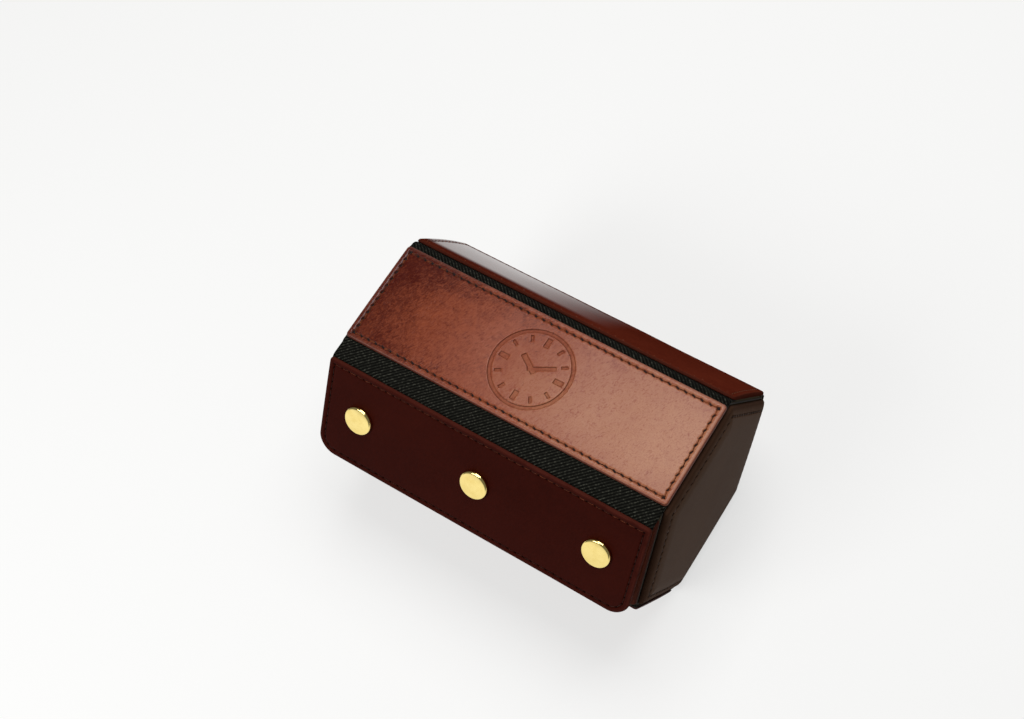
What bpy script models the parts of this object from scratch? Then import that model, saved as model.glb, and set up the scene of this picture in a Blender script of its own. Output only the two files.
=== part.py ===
# Watch roll for three watches: a six-sided leather case whose top folds back on
# fabric corners. Lengths are in metres, +Z is up and +X runs along the roll.
# The origin is the middle of the outer face of the base panel.
import math

import bmesh
import bpy
from mathutils import Matrix
from mathutils import Vector

# Overall shape
ROLL_LENGTH = 0.175
ROLL_APOTHEM = 0.0547
CORNER_SETBACK = 0.00413
SEAT_GAP = 0.0003

# Layers of a wrap panel, outside to inside
LEATHER_THICKNESS = 0.0012
BOARD_THICKNESS = 0.0012
LINING_THICKNESS = 0.0006
SNAP_BOARD_THICKNESS = 0.0020
PANEL_CORNER_RADIUS = 0.0020
LEATHER_EDGE_ROUND = 0.0004
BOARD_END_INSET = 0.0006
BOARD_CORNER_CLEARANCE = 0.0010
LINING_CORNER_CLEARANCE = 0.0003

# Twill strips at the corners
STRIP_THICKNESS = 0.0005
STRIP_TUCK = 0.0050
STRIP_BEND_RADIUS = 0.0030
STRIP_END_INSET = 0.0004
STRIP_BEND_STEPS = 6

# Flap that closes over the snap panel, and leans out from it towards its free edge
FLAP_LEAN_DEGREES = 3.0
FLAP_TOP_SETBACK = 0.0011
FLAP_LENGTH = 0.0555
FLAP_CORE_THICKNESS = 0.0015
FLAP_BACKING_THICKNESS = 0.0012
FLAP_CORNER_RADIUS = 0.0100
FLAP_CORE_INSET = 0.0008
FLAP_BACKING_INSET = 0.0012

# Stitched end caps
CAP_PROUD = 0.0015
CAP_LEATHER_THICKNESS = 0.0020
CAP_BOARD_THICKNESS = 0.0020
CAP_LINING_THICKNESS = 0.0008
CAP_EDGE_ROUND = 0.0007
CAP_CORNER_RADIUS = 0.0016

# Dividers between the watches
WATCH_COUNT = 3
DIVIDER_THICKNESS = 0.0030
DIVIDER_EDGE_ROUND = 0.0006

# Snaps
SNAP_COUNT = 3
SNAP_FROM_END = 0.0213
SNAP_PLAY = 0.00043
SNAP_CAP_RADIUS = 0.0075
SNAP_CAP_HEIGHT = 0.0022
SNAP_CAP_RIM_HEIGHT = 0.0008
SNAP_CAP_RIM_BEVEL = 0.0004
SNAP_POST_RADIUS = 0.0019
SOCKET_RADIUS = 0.0054
SOCKET_MOUTH_RADIUS = 0.0023
SOCKET_STANDOUT = 0.0011
SOCKET_LIP = 0.0006
SOCKET_POST_REACH = 0.0008
STUD_FLANGE_RADIUS = 0.0052
STUD_FLANGE_THICKNESS = 0.0004
STUD_HEAD_RADIUS = 0.0026
STUD_HEAD_HEIGHT = 0.0007
STUD_WALL = 0.0003
EYELET_RADIUS = 0.0016
EYELET_FLANGE_RADIUS = 0.0045
EYELET_FLANGE_THICKNESS = 0.0005
SNAP_CAP_SIDES = 24
SNAP_HIDDEN_SIDES = 16
SNAP_DOME_STEPS = 4

# Watch cushions
CUSHION_SIDE_ROOM = 0.00385
CUSHION_STRAP_ROOM = 0.0074
CUSHION_HEIGHT = 0.0540
CUSHION_FLAT_DEPTH = 0.0015
CUSHION_COVER_THICKNESS = 0.0010
CUSHION_END_THICKNESS = 0.0010
CUSHION_END_CROWN = 0.0022
CUSHION_SIDES = 24
CUSHION_SQUARENESS = 2.3
# Along half the length of a cushion, and how full its section is there
CUSHION_PLACE_SHARES = (-1.0, -0.72, 0.0, 0.72, 1.0)
CUSHION_FULL_SHARES = (0.925, 0.985, 1.0, 0.985, 0.925)
# From the middle of an end panel to its rim, and how far it crowns there
END_RADIUS_SHARES = (0.45, 0.8)
END_CROWN_SHARES = (0.85, 0.4)

# How far a cutter runs past what it cuts, and how near two points count as one
CUT_OVERRUN = 0.0010
MERGE_DISTANCE = 0.000001

# Straight steps in a rounded corner, and the bends that count as an edge
CORNER_STEPS = 3
SMOOTH_LIMIT = math.radians(35.0)
COVER_SMOOTH_LIMIT = math.radians(50.0)
BEVEL_LIMIT = math.radians(50.0)

# Turns of the six faces about the long axis, counted from the top towards the front
FACE_STEP = math.radians(60.0)
TOP_TURN = 0.0
FRONT_UPPER_TURN = FACE_STEP
FRONT_LOWER_TURN = 2 * FACE_STEP
BASE_TURN = 3 * FACE_STEP
REAR_LOWER_TURN = 4 * FACE_STEP
REAR_UPPER_TURN = 5 * FACE_STEP
FLAP_LEAN = math.radians(FLAP_LEAN_DEGREES)
FLAP_TURN = FRONT_UPPER_TURN - FLAP_LEAN

# Sizes worked out from the driving dimensions
HALF_SIDE_RATIO = math.tan(FACE_STEP / 2)
PANEL_HALF_WIDTH = ROLL_APOTHEM * HALF_SIDE_RATIO - CORNER_SETBACK
WRAP_THICKNESS = LEATHER_THICKNESS + BOARD_THICKNESS + LINING_THICKNESS + 2 * SEAT_GAP
INNER_APOTHEM = ROLL_APOTHEM - WRAP_THICKNESS
CAP_APOTHEM = INNER_APOTHEM - SEAT_GAP
HALF_LENGTH = ROLL_LENGTH / 2
CAP_FACE = HALF_LENGTH + CAP_PROUD
CAP_BOARD_FACE = CAP_FACE - CAP_LEATHER_THICKNESS - SEAT_GAP
CAP_LINING_FACE = CAP_BOARD_FACE - CAP_BOARD_THICKNESS - SEAT_GAP
CAP_INSIDE = CAP_LINING_FACE - CAP_LINING_THICKNESS
COMPARTMENT_LENGTH = (2 * CAP_INSIDE - (WATCH_COUNT - 1) * DIVIDER_THICKNESS) / WATCH_COUNT
ROLL_CENTRE = Vector((0, 0, ROLL_APOTHEM))
SIDE_NAMES = ("left", "middle", "right")

# The snaps' row and the flap's plane follow from the height of a closed snap
SNAP_SPACING = 2 * (HALF_LENGTH - SNAP_FROM_END) / (SNAP_COUNT - 1)
SNAP_PLACES = [(index - (SNAP_COUNT - 1) / 2) * SNAP_SPACING for index in range(SNAP_COUNT)]
SNAP_PANEL_OUTSIDE = ROLL_APOTHEM + SNAP_BOARD_THICKNESS - BOARD_THICKNESS
STUD_HEIGHT = SEAT_GAP + STUD_FLANGE_THICKNESS + STUD_HEAD_HEIGHT
SNAP_ROW_OUTSIDE = SNAP_PANEL_OUTSIDE + STUD_HEIGHT + SNAP_PLAY + SOCKET_STANDOUT
FLAP_THICKNESS = LEATHER_THICKNESS + FLAP_CORE_THICKNESS + FLAP_BACKING_THICKNESS + 2 * SEAT_GAP
FLAP_APOTHEM = SNAP_ROW_OUTSIDE * math.cos(FLAP_LEAN) + FLAP_THICKNESS
SNAP_DOWN = SNAP_ROW_OUTSIDE * math.sin(FLAP_LEAN)
FLAP_CORNER = (ROLL_APOTHEM - FLAP_APOTHEM * math.cos(FLAP_TURN)) / math.sin(FLAP_TURN)
FLAP_TOP_SHIFT = FLAP_CORNER - FLAP_TOP_SETBACK

# A cushion fills its compartment but for room for a hand and a strap
CUSHION_LENGTH = COMPARTMENT_LENGTH - 2 * CUSHION_SIDE_ROOM
CUSHION_MIDDLE_DROP = INNER_APOTHEM - SEAT_GAP - CUSHION_HEIGHT / 2 + CUSHION_FLAT_DEPTH
INNER_HALF_WIDTH = (INNER_APOTHEM - CUSHION_MIDDLE_DROP * math.cos(FACE_STEP)) / math.sin(FACE_STEP)
CUSHION_WIDTH = 2 * (INNER_HALF_WIDTH - CUSHION_STRAP_ROOM)


class Layers:
    """Depths of one panel's layers, as distances from the roll's long axis."""

    def __init__(self, outside, board_thickness, lining_thickness):
        self.outside = outside
        self.leather_low = outside - LEATHER_THICKNESS
        self.board_high = self.leather_low - SEAT_GAP
        self.board_low = self.board_high - board_thickness
        self.lining_high = self.board_low - SEAT_GAP
        self.lining_low = self.lining_high - lining_thickness
        self.strip = self.board_high - STRIP_THICKNESS / 2
        self.rebate = self.board_high - STRIP_THICKNESS - SEAT_GAP


WRAP = Layers(ROLL_APOTHEM, BOARD_THICKNESS, LINING_THICKNESS)
SNAP_WRAP = Layers(SNAP_PANEL_OUTSIDE, SNAP_BOARD_THICKNESS, LINING_THICKNESS)
FLAP = Layers(FLAP_APOTHEM, FLAP_CORE_THICKNESS, FLAP_BACKING_THICKNESS)


def clear_scene():
    for thing in list(bpy.data.objects):
        bpy.data.objects.remove(thing, do_unlink=True)


def make_material(name, colour, roughness, metallic=0.0):
    material = bpy.data.materials.new(name)
    material.use_nodes = True
    shader = material.node_tree.nodes["Principled BSDF"]
    shader.inputs["Base Color"].default_value = (*colour, 1.0)
    shader.inputs["Roughness"].default_value = roughness
    shader.inputs["Metallic"].default_value = metallic
    return material


def link_object(name, mesh, finish):
    thing = bpy.data.objects.new(name, mesh)
    bpy.context.scene.collection.objects.link(thing)
    material = make_material(name + "_finish", *finish)
    thing.data.materials.append(material)
    return thing


def place(thing, carrier, point, turn):
    """Stand a piece at a point of the roll, turned about X, on its carrier empty."""
    thing.parent = carrier
    thing.location = point - carrier.matrix_world.translation
    thing.rotation_euler = (turn, 0, 0)


def mesh_from(bm, name):
    bmesh.ops.recalc_face_normals(bm, faces=bm.faces)
    mesh = bpy.data.meshes.new(name)
    bm.to_mesh(mesh)
    bm.free()
    return mesh


def face_point(turn, along, down, out):
    """World point on a face: along X, down the face from its middle, out from the axis."""
    offset = Matrix.Rotation(turn, 3, "X") @ Vector((along, -down, out))
    return ROLL_CENTRE + offset


def rounded_outline(corners, radii, steps):
    """Corner points in order, each cut by an arc of its own radius."""
    outline = []
    count = len(corners)
    for index, (corner, radius) in enumerate(zip(corners, radii)):
        here = Vector(corner)
        back = (Vector(corners[index - 1]) - here).normalized()
        ahead = (Vector(corners[(index + 1) % count]) - here).normalized()
        if radius == 0:
            outline.append(here)
            continue
        half_angle = back.angle(ahead) / 2
        centre = here + (back + ahead).normalized() * (radius / math.sin(half_angle))
        first = here + back * (radius / math.tan(half_angle)) - centre
        sweep = math.pi - 2 * half_angle
        sense = 1 if back.cross(ahead) < 0 else -1
        for step in range(steps + 1):
            turn = Matrix.Rotation(sense * sweep * step / steps, 2)
            outline.append(centre + turn @ first)
    return outline


def extruded(name, outline, low, high, axis="Z"):
    """Closed slab: an outline in the plane square to its axis, run from low to high."""
    bm = bmesh.new()
    if axis == "X":
        corners = [bm.verts.new((low, point[0], point[1])) for point in outline]
        run = Vector((high - low, 0, 0))
    else:
        corners = [bm.verts.new((point[0], point[1], low)) for point in outline]
        run = Vector((0, 0, high - low))
    base = bm.faces.new(corners)
    grown = bmesh.ops.extrude_face_region(bm, geom=[base])
    moved = [item for item in grown["geom"] if isinstance(item, bmesh.types.BMVert)]
    bmesh.ops.translate(bm, verts=moved, vec=run)
    return mesh_from(bm, name)


def add_bevel(thing, width, segments=2):
    bevel = thing.modifiers.new("edge_round", "BEVEL")
    bevel.width = width
    bevel.segments = segments
    bevel.limit_method = "ANGLE"
    bevel.angle_limit = BEVEL_LIMIT


def add_cut(thing, cutter):
    cut = thing.modifiers.new(cutter.name, "BOOLEAN")
    cut.operation = "DIFFERENCE"
    cut.solver = "EXACT"
    cut.object = cutter


def make_cutter(name, mesh, carrier, turn):
    """Guide body that cuts a panel and stays out of the finished roll."""
    cutter = bpy.data.objects.new(name, mesh)
    bpy.context.scene.collection.objects.link(cutter)
    place(cutter, carrier, ROLL_CENTRE, turn)
    cutter.hide_render = True
    cutter.display_type = "WIRE"
    return cutter


def make_hole_cutter(name, carrier, turn, down, radius, low, high):
    """Round pins that cut one row of snap holes through a panel."""
    bm = bmesh.new()
    height = high - low + 2 * CUT_OVERRUN
    for along in SNAP_PLACES:
        middle = Vector((along, -down, (low + high) / 2))
        bmesh.ops.create_cone(bm, cap_ends=True, segments=SNAP_HIDDEN_SIDES, radius1=radius,
                              radius2=radius, depth=height, matrix=Matrix.Translation(middle))
    return make_cutter(name, mesh_from(bm, name), carrier, turn)


def turned(name, profile, sides):
    """Round piece: a closed profile of (radius, height) points spun about Z."""
    bm = bmesh.new()
    corners = [bm.verts.new((radius, 0, height)) for radius, height in profile]
    edges = [bm.edges.new(pair) for pair in zip(corners, corners[1:])]
    if profile[0][0] > 0:
        edges.append(bm.edges.new((corners[-1], corners[0])))
    bmesh.ops.spin(bm, geom=corners + edges, cent=(0, 0, 0), axis=(0, 0, 1), angle=2 * math.pi,
                   steps=sides, use_merge=True)
    bmesh.ops.remove_doubles(bm, verts=bm.verts, dist=MERGE_DISTANCE)
    mesh = mesh_from(bm, name)
    mesh.shade_smooth()
    mesh.set_sharp_from_angle(angle=SMOOTH_LIMIT)
    return mesh


LEATHER = ((0.25, 0.10, 0.055), 0.45)
FLAP_LEATHER = ((0.09, 0.028, 0.02), 0.42)
END_LEATHER = ((0.12, 0.075, 0.055), 0.5)
TWILL = ((0.016, 0.017, 0.014), 0.85)
SUEDE = ((0.055, 0.048, 0.042), 0.95)
CUSHION_SUEDE = ((0.12, 0.10, 0.085), 0.95)
BOARD = ((0.20, 0.18, 0.15), 0.9)
FOAM = ((0.6, 0.58, 0.5), 0.95)
BRASS = ((0.75, 0.62, 0.36), 0.25, 1.0)


def make_facing(name, carrier, layers, turn):
    """Leather face of a panel, with softly rounded corners and edges."""
    half = HALF_LENGTH
    wide = PANEL_HALF_WIDTH
    corners = [(-half, -wide), (half, -wide), (half, wide), (-half, wide)]
    outline = rounded_outline(corners, [PANEL_CORNER_RADIUS] * 4, CORNER_STEPS)
    mesh = extruded(name, outline, layers.leather_low, layers.outside)
    facing = link_object(name, mesh, LEATHER)
    place(facing, carrier, ROLL_CENTRE, turn)
    add_bevel(facing, LEATHER_EDGE_ROUND)
    return facing


def make_board(name, carrier, layers, turn, rebates=(True, True)):
    """Stiffener: its long edges are cut back where a twill strip is tucked in."""
    half = layers.board_low * HALF_SIDE_RATIO - BOARD_CORNER_CLEARANCE
    step = PANEL_HALF_WIDTH - STRIP_TUCK - SEAT_GAP
    section = []
    for side, rebated in zip((-1, 1), rebates):
        edge = [(side * half, layers.board_low)]
        if rebated:
            edge.append((side * half, layers.rebate))
            edge.append((side * step, layers.rebate))
            edge.append((side * step, layers.board_high))
        else:
            edge.append((side * half, layers.board_high))
        section += edge if side < 0 else edge[::-1]
    end = HALF_LENGTH - BOARD_END_INSET
    board = link_object(name, extruded(name, section, -end, end, "X"), BOARD)
    place(board, carrier, ROLL_CENTRE, turn)
    return board


def make_lining(name, carrier, layers, turn):
    """Suede inner face of a panel."""
    wide = layers.lining_low * HALF_SIDE_RATIO - LINING_CORNER_CLEARANCE
    end = HALF_LENGTH - BOARD_END_INSET
    outline = [(-end, -wide), (end, -wide), (end, wide), (-end, wide)]
    mesh = extruded(name, outline, layers.lining_low, layers.lining_high)
    lining = link_object(name, mesh, SUEDE)
    place(lining, carrier, ROLL_CENTRE, turn)
    return lining


def make_panel(name, carrier, layers, turn, rebates=(True, True)):
    facing = make_facing(name + "_facing", carrier, layers, turn)
    board = make_board(name + "_board", carrier, layers, turn, rebates)
    lining = make_lining(name + "_lining", carrier, layers, turn)
    return facing, board, lining


def section_point(turn, down, out):
    """Point of the roll's cross section as (y, z) from the roll's centre."""
    point = face_point(turn, 0, down, out) - ROLL_CENTRE
    return Vector((point.y, point.z))


def strip_path(first, second):
    """Middle line of a twill strip that bends from one face to the next.

    A face is (turn, depth, how far down the face the strip is tucked)."""
    start = section_point(first[0], first[2], first[1])
    finish = section_point(second[0], second[2], second[1])
    run = Vector((-math.cos(first[0]), -math.sin(first[0])))
    back = Vector((math.cos(second[0]), math.sin(second[0])))
    reach = (finish - start).cross(back) / run.cross(back)
    corner = start + run * reach
    bend = rounded_outline([start, corner, finish], [0, STRIP_BEND_RADIUS, 0], STRIP_BEND_STEPS)
    return bend


def make_strip(name, carrier, first, second):
    """Twill strip sewn under the edges of two leather faces."""
    path = strip_path(first, second)
    half = STRIP_THICKNESS / 2
    outer = []
    inner = []
    for index, point in enumerate(path):
        before = path[max(index - 1, 0)]
        after = path[min(index + 1, len(path) - 1)]
        heading = (after - before).normalized()
        side = Vector((heading.y, -heading.x))
        outer.append(point + side * half)
        inner.append(point - side * half)
    end = HALF_LENGTH - STRIP_END_INSET
    mesh = extruded(name, outer + inner[::-1], -end, end, "X")
    mesh.shade_smooth()
    mesh.set_sharp_from_angle(angle=SMOOTH_LIMIT)
    strip = link_object(name, mesh, TWILL)
    place(strip, carrier, ROLL_CENTRE, 0)
    return strip


def lower_edge(turn, layers):
    """Where a strip is tucked under the edge of a panel that faces the next panel."""
    return (turn, layers.strip, PANEL_HALF_WIDTH - STRIP_TUCK)


def upper_edge(turn, layers):
    """Where a strip is tucked under the edge of a panel that faces the panel before."""
    return (turn, layers.strip, STRIP_TUCK - PANEL_HALF_WIDTH)


def flap_edge():
    """Where the last strip is tucked under the top edge of the flap."""
    return (FLAP_TURN, FLAP.strip, STRIP_TUCK - FLAP_TOP_SHIFT)


def hinge_point(first, second):
    """Hinge line of a corner: the middle of its strip's bend."""
    path = strip_path(first, second)[1:-1]
    middle = path[len(path) // 2]
    return ROLL_CENTRE + Vector((0, middle.x, middle.y))


def flap_hinge_point():
    """Hinge line of the flap: the middle of the free twill between lid and flap."""
    lid_edge = section_point(TOP_TURN, PANEL_HALF_WIDTH, WRAP.strip)
    flap_edge = section_point(FLAP_TURN, -FLAP_TOP_SHIFT, FLAP.strip)
    middle = (lid_edge + flap_edge) / 2
    return ROLL_CENTRE + Vector((0, middle.x, middle.y))


def make_empty(name, point, parent=None):
    empty = bpy.data.objects.new(name, None)
    bpy.context.scene.collection.objects.link(empty)
    empty.location = point
    if parent:
        empty.parent = parent
        empty.location = point - parent.matrix_world.translation
    bpy.context.view_layer.update()
    return empty


def flap_outline(inset, radius):
    """Flap seen from outside: square at the hinge, round at its free corners."""
    half = HALF_LENGTH - inset
    top = FLAP_TOP_SHIFT - inset
    low = FLAP_TOP_SHIFT - FLAP_LENGTH + inset
    corners = [(-half, low), (half, low), (half, top), (-half, top)]
    small = PANEL_CORNER_RADIUS
    return rounded_outline(corners, [radius, radius, small, small], 2 * CORNER_STEPS)


def make_flap(carrier):
    """Leather, core and backing of the flap, pierced for the snaps."""
    post_hole = make_hole_cutter("flap_post_holes", carrier, FLAP_TURN, SNAP_DOWN,
                                 SNAP_POST_RADIUS + SEAT_GAP, FLAP.board_low, FLAP.outside)
    socket_hole = make_hole_cutter("flap_socket_holes", carrier, FLAP_TURN, SNAP_DOWN,
                                   SOCKET_RADIUS + SEAT_GAP, FLAP.lining_low, FLAP.lining_high)
    mesh = extruded("flap_facing", flap_outline(0, FLAP_CORNER_RADIUS), FLAP.leather_low, FLAP.outside)
    facing = link_object("flap_facing", mesh, FLAP_LEATHER)
    place(facing, carrier, ROLL_CENTRE, FLAP_TURN)
    add_bevel(facing, LEATHER_EDGE_ROUND)
    add_cut(facing, post_hole)
    make_flap_core(carrier, post_hole)
    outline = flap_outline(FLAP_BACKING_INSET, FLAP_CORNER_RADIUS - FLAP_BACKING_INSET)
    mesh = extruded("flap_backing", outline, FLAP.lining_low, FLAP.lining_high)
    backing = link_object("flap_backing", mesh, FLAP_LEATHER)
    place(backing, carrier, ROLL_CENTRE, FLAP_TURN)
    add_cut(backing, socket_hole)


def make_flap_core(carrier, post_hole):
    """Stiff core of the flap, stepped back under the twill along its top edge."""
    outline = flap_outline(FLAP_CORE_INSET, FLAP_CORNER_RADIUS - FLAP_CORE_INSET)
    mesh = extruded("flap_core", outline, FLAP.board_low, FLAP.board_high)
    core = link_object("flap_core", mesh, BOARD)
    place(core, carrier, ROLL_CENTRE, FLAP_TURN)
    add_cut(core, post_hole)
    half = HALF_LENGTH + CUT_OVERRUN
    low = FLAP_TOP_SHIFT - STRIP_TUCK - SEAT_GAP
    high = FLAP_TOP_SHIFT + CUT_OVERRUN
    step = [(low, FLAP.rebate), (high, FLAP.rebate), (high, FLAP.outside), (low, FLAP.outside)]
    mesh = extruded("flap_core_step", step, -half, half, "X")
    add_cut(core, make_cutter("flap_core_step", mesh, carrier, FLAP_TURN))


def make_snap_panel(carrier):
    """Front panel under the flap, pierced for the studs."""
    parts = make_panel("snap_panel", carrier, SNAP_WRAP, FRONT_UPPER_TURN, (True, False))
    holes = make_hole_cutter("snap_panel_holes", carrier, FRONT_UPPER_TURN, 0,
                             EYELET_RADIUS + SEAT_GAP, SNAP_WRAP.lining_low, SNAP_WRAP.outside)
    for thing in parts:
        add_cut(thing, holes)


def snap_cap_profile():
    """Low dome with a bevelled rim, on a post that runs through the flap."""
    points = [(0, SNAP_CAP_HEIGHT)]
    flat = SNAP_CAP_RADIUS - SNAP_CAP_RIM_BEVEL
    for step in range(1, SNAP_DOME_STEPS + 1):
        share = step / SNAP_DOME_STEPS
        rise = (SNAP_CAP_HEIGHT - SNAP_CAP_RIM_HEIGHT) * (1 - share ** 2)
        points.append((flat * share, SNAP_CAP_RIM_HEIGHT + rise))
    points.append((SNAP_CAP_RADIUS, SNAP_CAP_RIM_HEIGHT - SNAP_CAP_RIM_BEVEL))
    points.append((SNAP_CAP_RADIUS, 0))
    post_end = FLAP.board_low - SEAT_GAP - SOCKET_POST_REACH - FLAP.outside - SEAT_GAP
    points.append((SNAP_POST_RADIUS, 0))
    points.append((SNAP_POST_RADIUS, post_end))
    points.append((0, post_end))
    return points


def socket_profile():
    """Ring set in the backing; its mouth faces the stud."""
    high = FLAP.board_low - SEAT_GAP
    low = FLAP.lining_low - SOCKET_STANDOUT
    lip = low + SOCKET_LIP
    waist = SOCKET_RADIUS - SOCKET_LIP
    return [(SOCKET_MOUTH_RADIUS, low), (SOCKET_MOUTH_RADIUS, high), (SOCKET_RADIUS, high),
            (SOCKET_RADIUS, lip), (waist, low)]


def stud_profile():
    """Flanged stud whose hollow head takes the end of the eyelet."""
    low = SNAP_WRAP.outside + SEAT_GAP
    flange = low + STUD_FLANGE_THICKNESS
    head = SNAP_WRAP.outside + STUD_HEIGHT
    hollow = EYELET_RADIUS + SEAT_GAP
    roof = head - STUD_WALL
    return [(0, head), (STUD_HEAD_RADIUS - STUD_WALL, head), (STUD_HEAD_RADIUS, head - STUD_WALL),
            (STUD_HEAD_RADIUS, flange), (STUD_FLANGE_RADIUS, flange), (STUD_FLANGE_RADIUS, low),
            (hollow, low), (hollow, roof), (0, roof)]


def eyelet_profile():
    """Flanged pin that holds the stud from inside the case."""
    low = SNAP_WRAP.lining_low - SEAT_GAP - EYELET_FLANGE_THICKNESS
    flange = low + EYELET_FLANGE_THICKNESS
    tip = SNAP_WRAP.outside + STUD_HEIGHT - STUD_WALL - SEAT_GAP
    return [(0, tip), (EYELET_RADIUS, tip), (EYELET_RADIUS, flange), (EYELET_FLANGE_RADIUS, flange),
            (EYELET_FLANGE_RADIUS, low), (0, low)]


def make_round(name, profile, sides, carrier, point, turn):
    piece = link_object(name, turned(name, profile, sides), BRASS)
    place(piece, carrier, point, turn)


def make_snap(side, along, body, flap):
    """Cap and socket ride on the flap, stud and eyelet stay on the case."""
    on_flap = face_point(FLAP_TURN, along, SNAP_DOWN, FLAP.outside + SEAT_GAP)
    in_flap = face_point(FLAP_TURN, along, SNAP_DOWN, 0)
    in_case = face_point(FRONT_UPPER_TURN, along, 0, 0)
    sides = SNAP_HIDDEN_SIDES
    make_round("snap_cap_" + side, snap_cap_profile(), SNAP_CAP_SIDES, flap, on_flap, FLAP_TURN)
    make_round("snap_socket_" + side, socket_profile(), sides, flap, in_flap, FLAP_TURN)
    make_round("snap_stud_" + side, stud_profile(), sides, body, in_case, FRONT_UPPER_TURN)
    make_round("snap_eyelet_" + side, eyelet_profile(), sides, body, in_case, FRONT_UPPER_TURN)


def hexagon(apothem, radius):
    """Six-sided outline with flats facing the wrap panels."""
    reach = apothem / math.cos(FACE_STEP / 2)
    corners = []
    for index in range(6):
        angle = index * FACE_STEP
        corners.append((reach * math.cos(angle), reach * math.sin(angle)))
    return rounded_outline(corners, [radius] * 6, CORNER_STEPS)


def make_end_cap(side, sign, body):
    """Leather outside, board and suede inside, each a six-sided plate."""
    layers = (
        ("leather", CAP_FACE, CAP_LEATHER_THICKNESS, END_LEATHER, CAP_EDGE_ROUND),
        ("board", CAP_BOARD_FACE, CAP_BOARD_THICKNESS, BOARD, 0),
        ("lining", CAP_LINING_FACE, CAP_LINING_THICKNESS, SUEDE, 0),
    )
    for layer, face, thickness, finish, edge_round in layers:
        name = "end_cap_" + side + "_" + layer
        low, high = sorted((sign * face, sign * (face - thickness)))
        mesh = extruded(name, hexagon(CAP_APOTHEM, CAP_CORNER_RADIUS), low, high, "X")
        plate = link_object(name, mesh, finish)
        place(plate, body, ROLL_CENTRE, 0)
        if edge_round:
            add_bevel(plate, edge_round)


def make_divider(side, sign, body):
    """Suede covered partition between two watches."""
    middle = sign * (COMPARTMENT_LENGTH + DIVIDER_THICKNESS) / 2
    name = "divider_" + side
    outline = hexagon(CAP_APOTHEM, CAP_CORNER_RADIUS)
    mesh = extruded(name, outline, middle - DIVIDER_THICKNESS / 2, middle + DIVIDER_THICKNESS / 2, "X")
    divider = link_object(name, mesh, SUEDE)
    place(divider, body, ROLL_CENTRE, 0)
    add_bevel(divider, DIVIDER_EDGE_ROUND)


def cushion_ring(full, inset):
    """Oval section of a cushion, flat where it rests on the base."""
    half_width = CUSHION_WIDTH / 2 * full - inset
    half_height = CUSHION_HEIGHT / 2 * full - inset
    floor = -CUSHION_HEIGHT / 2 + CUSHION_FLAT_DEPTH + inset
    power = 2 / CUSHION_SQUARENESS
    ring = []
    for index in range(CUSHION_SIDES):
        angle = 2 * math.pi * (index + 0.5) / CUSHION_SIDES
        across = math.copysign(abs(math.cos(angle)) ** power, math.cos(angle))
        rise = math.copysign(abs(math.sin(angle)) ** power, math.sin(angle))
        ring.append((half_width * across, max(half_height * rise, floor)))
    return ring


def loft(rings, closed):
    """Skin rings of (x, y, z) points; closed joins the last ring to the first."""
    bm = bmesh.new()
    loops = [[bm.verts.new(point) for point in ring] for ring in rings]
    pairs = list(zip(loops, loops[1:]))
    if closed:
        pairs.append((loops[-1], loops[0]))
    for first, second in pairs:
        for index in range(len(first)):
            nearby = (index + 1) % len(first)
            bm.faces.new((first[index], first[nearby], second[nearby], second[index]))
    if not closed:
        bm.faces.new(loops[0])
        bm.faces.new(loops[-1])
    return bm


def cushion_rings(place_scale, inset):
    rings = []
    for place_share, full in zip(CUSHION_PLACE_SHARES, CUSHION_FULL_SHARES):
        along = place_scale * place_share
        rings.append([(along, y, z) for y, z in cushion_ring(full, inset)])
    return rings


def crowned_rings(along, inset, sign):
    """Rings of an end face that swells outwards, from its rim to its middle."""
    rim = cushion_ring(CUSHION_FULL_SHARES[0], inset)
    rings = [[(along, y, z) for y, z in rim]]
    for radius_share, crown_share in reversed(list(zip(END_RADIUS_SHARES, END_CROWN_SHARES))):
        out = along + sign * CUSHION_END_CROWN * crown_share
        rings.append([(out, y * radius_share, z * radius_share) for y, z in rim])
    return rings


def smooth_mesh(bm, name):
    mesh = mesh_from(bm, name)
    mesh.shade_smooth()
    mesh.set_sharp_from_angle(angle=COVER_SMOOTH_LIMIT)
    return mesh


def make_cushion(side, along, body):
    """Foam core in a suede sleeve, closed by a crowned panel at each end."""
    half = CUSHION_LENGTH / 2 - CUSHION_END_CROWN
    point = ROLL_CENTRE + Vector((along, 0, -CUSHION_MIDDLE_DROP))
    outer = cushion_rings(half, 0)
    inner = cushion_rings(half, CUSHION_COVER_THICKNESS)
    name = "cushion_" + side
    mesh = smooth_mesh(loft(outer + inner[::-1], True), name + "_sleeve")
    place(link_object(name + "_sleeve", mesh, CUSHION_SUEDE), body, point, 0)
    inset = CUSHION_COVER_THICKNESS + SEAT_GAP
    for end, sign in (("left_end", -1), ("right_end", 1)):
        outside = crowned_rings(sign * half, inset, sign)
        inside = crowned_rings(sign * (half - CUSHION_END_THICKNESS), inset, sign)
        mesh = smooth_mesh(loft(inside[::-1] + outside, False), name + "_" + end)
        place(link_object(name + "_" + end, mesh, CUSHION_SUEDE), body, point, 0)
    core_half = half - CUSHION_END_THICKNESS - SEAT_GAP
    left = crowned_rings(-core_half, inset, -1)
    right = crowned_rings(core_half, inset, 1)
    middle = cushion_rings(core_half, inset)[1:-1]
    mesh = smooth_mesh(loft(left[::-1] + middle + right, False), name + "_core")
    place(link_object(name + "_core", mesh, FOAM), body, point, 0)


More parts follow.
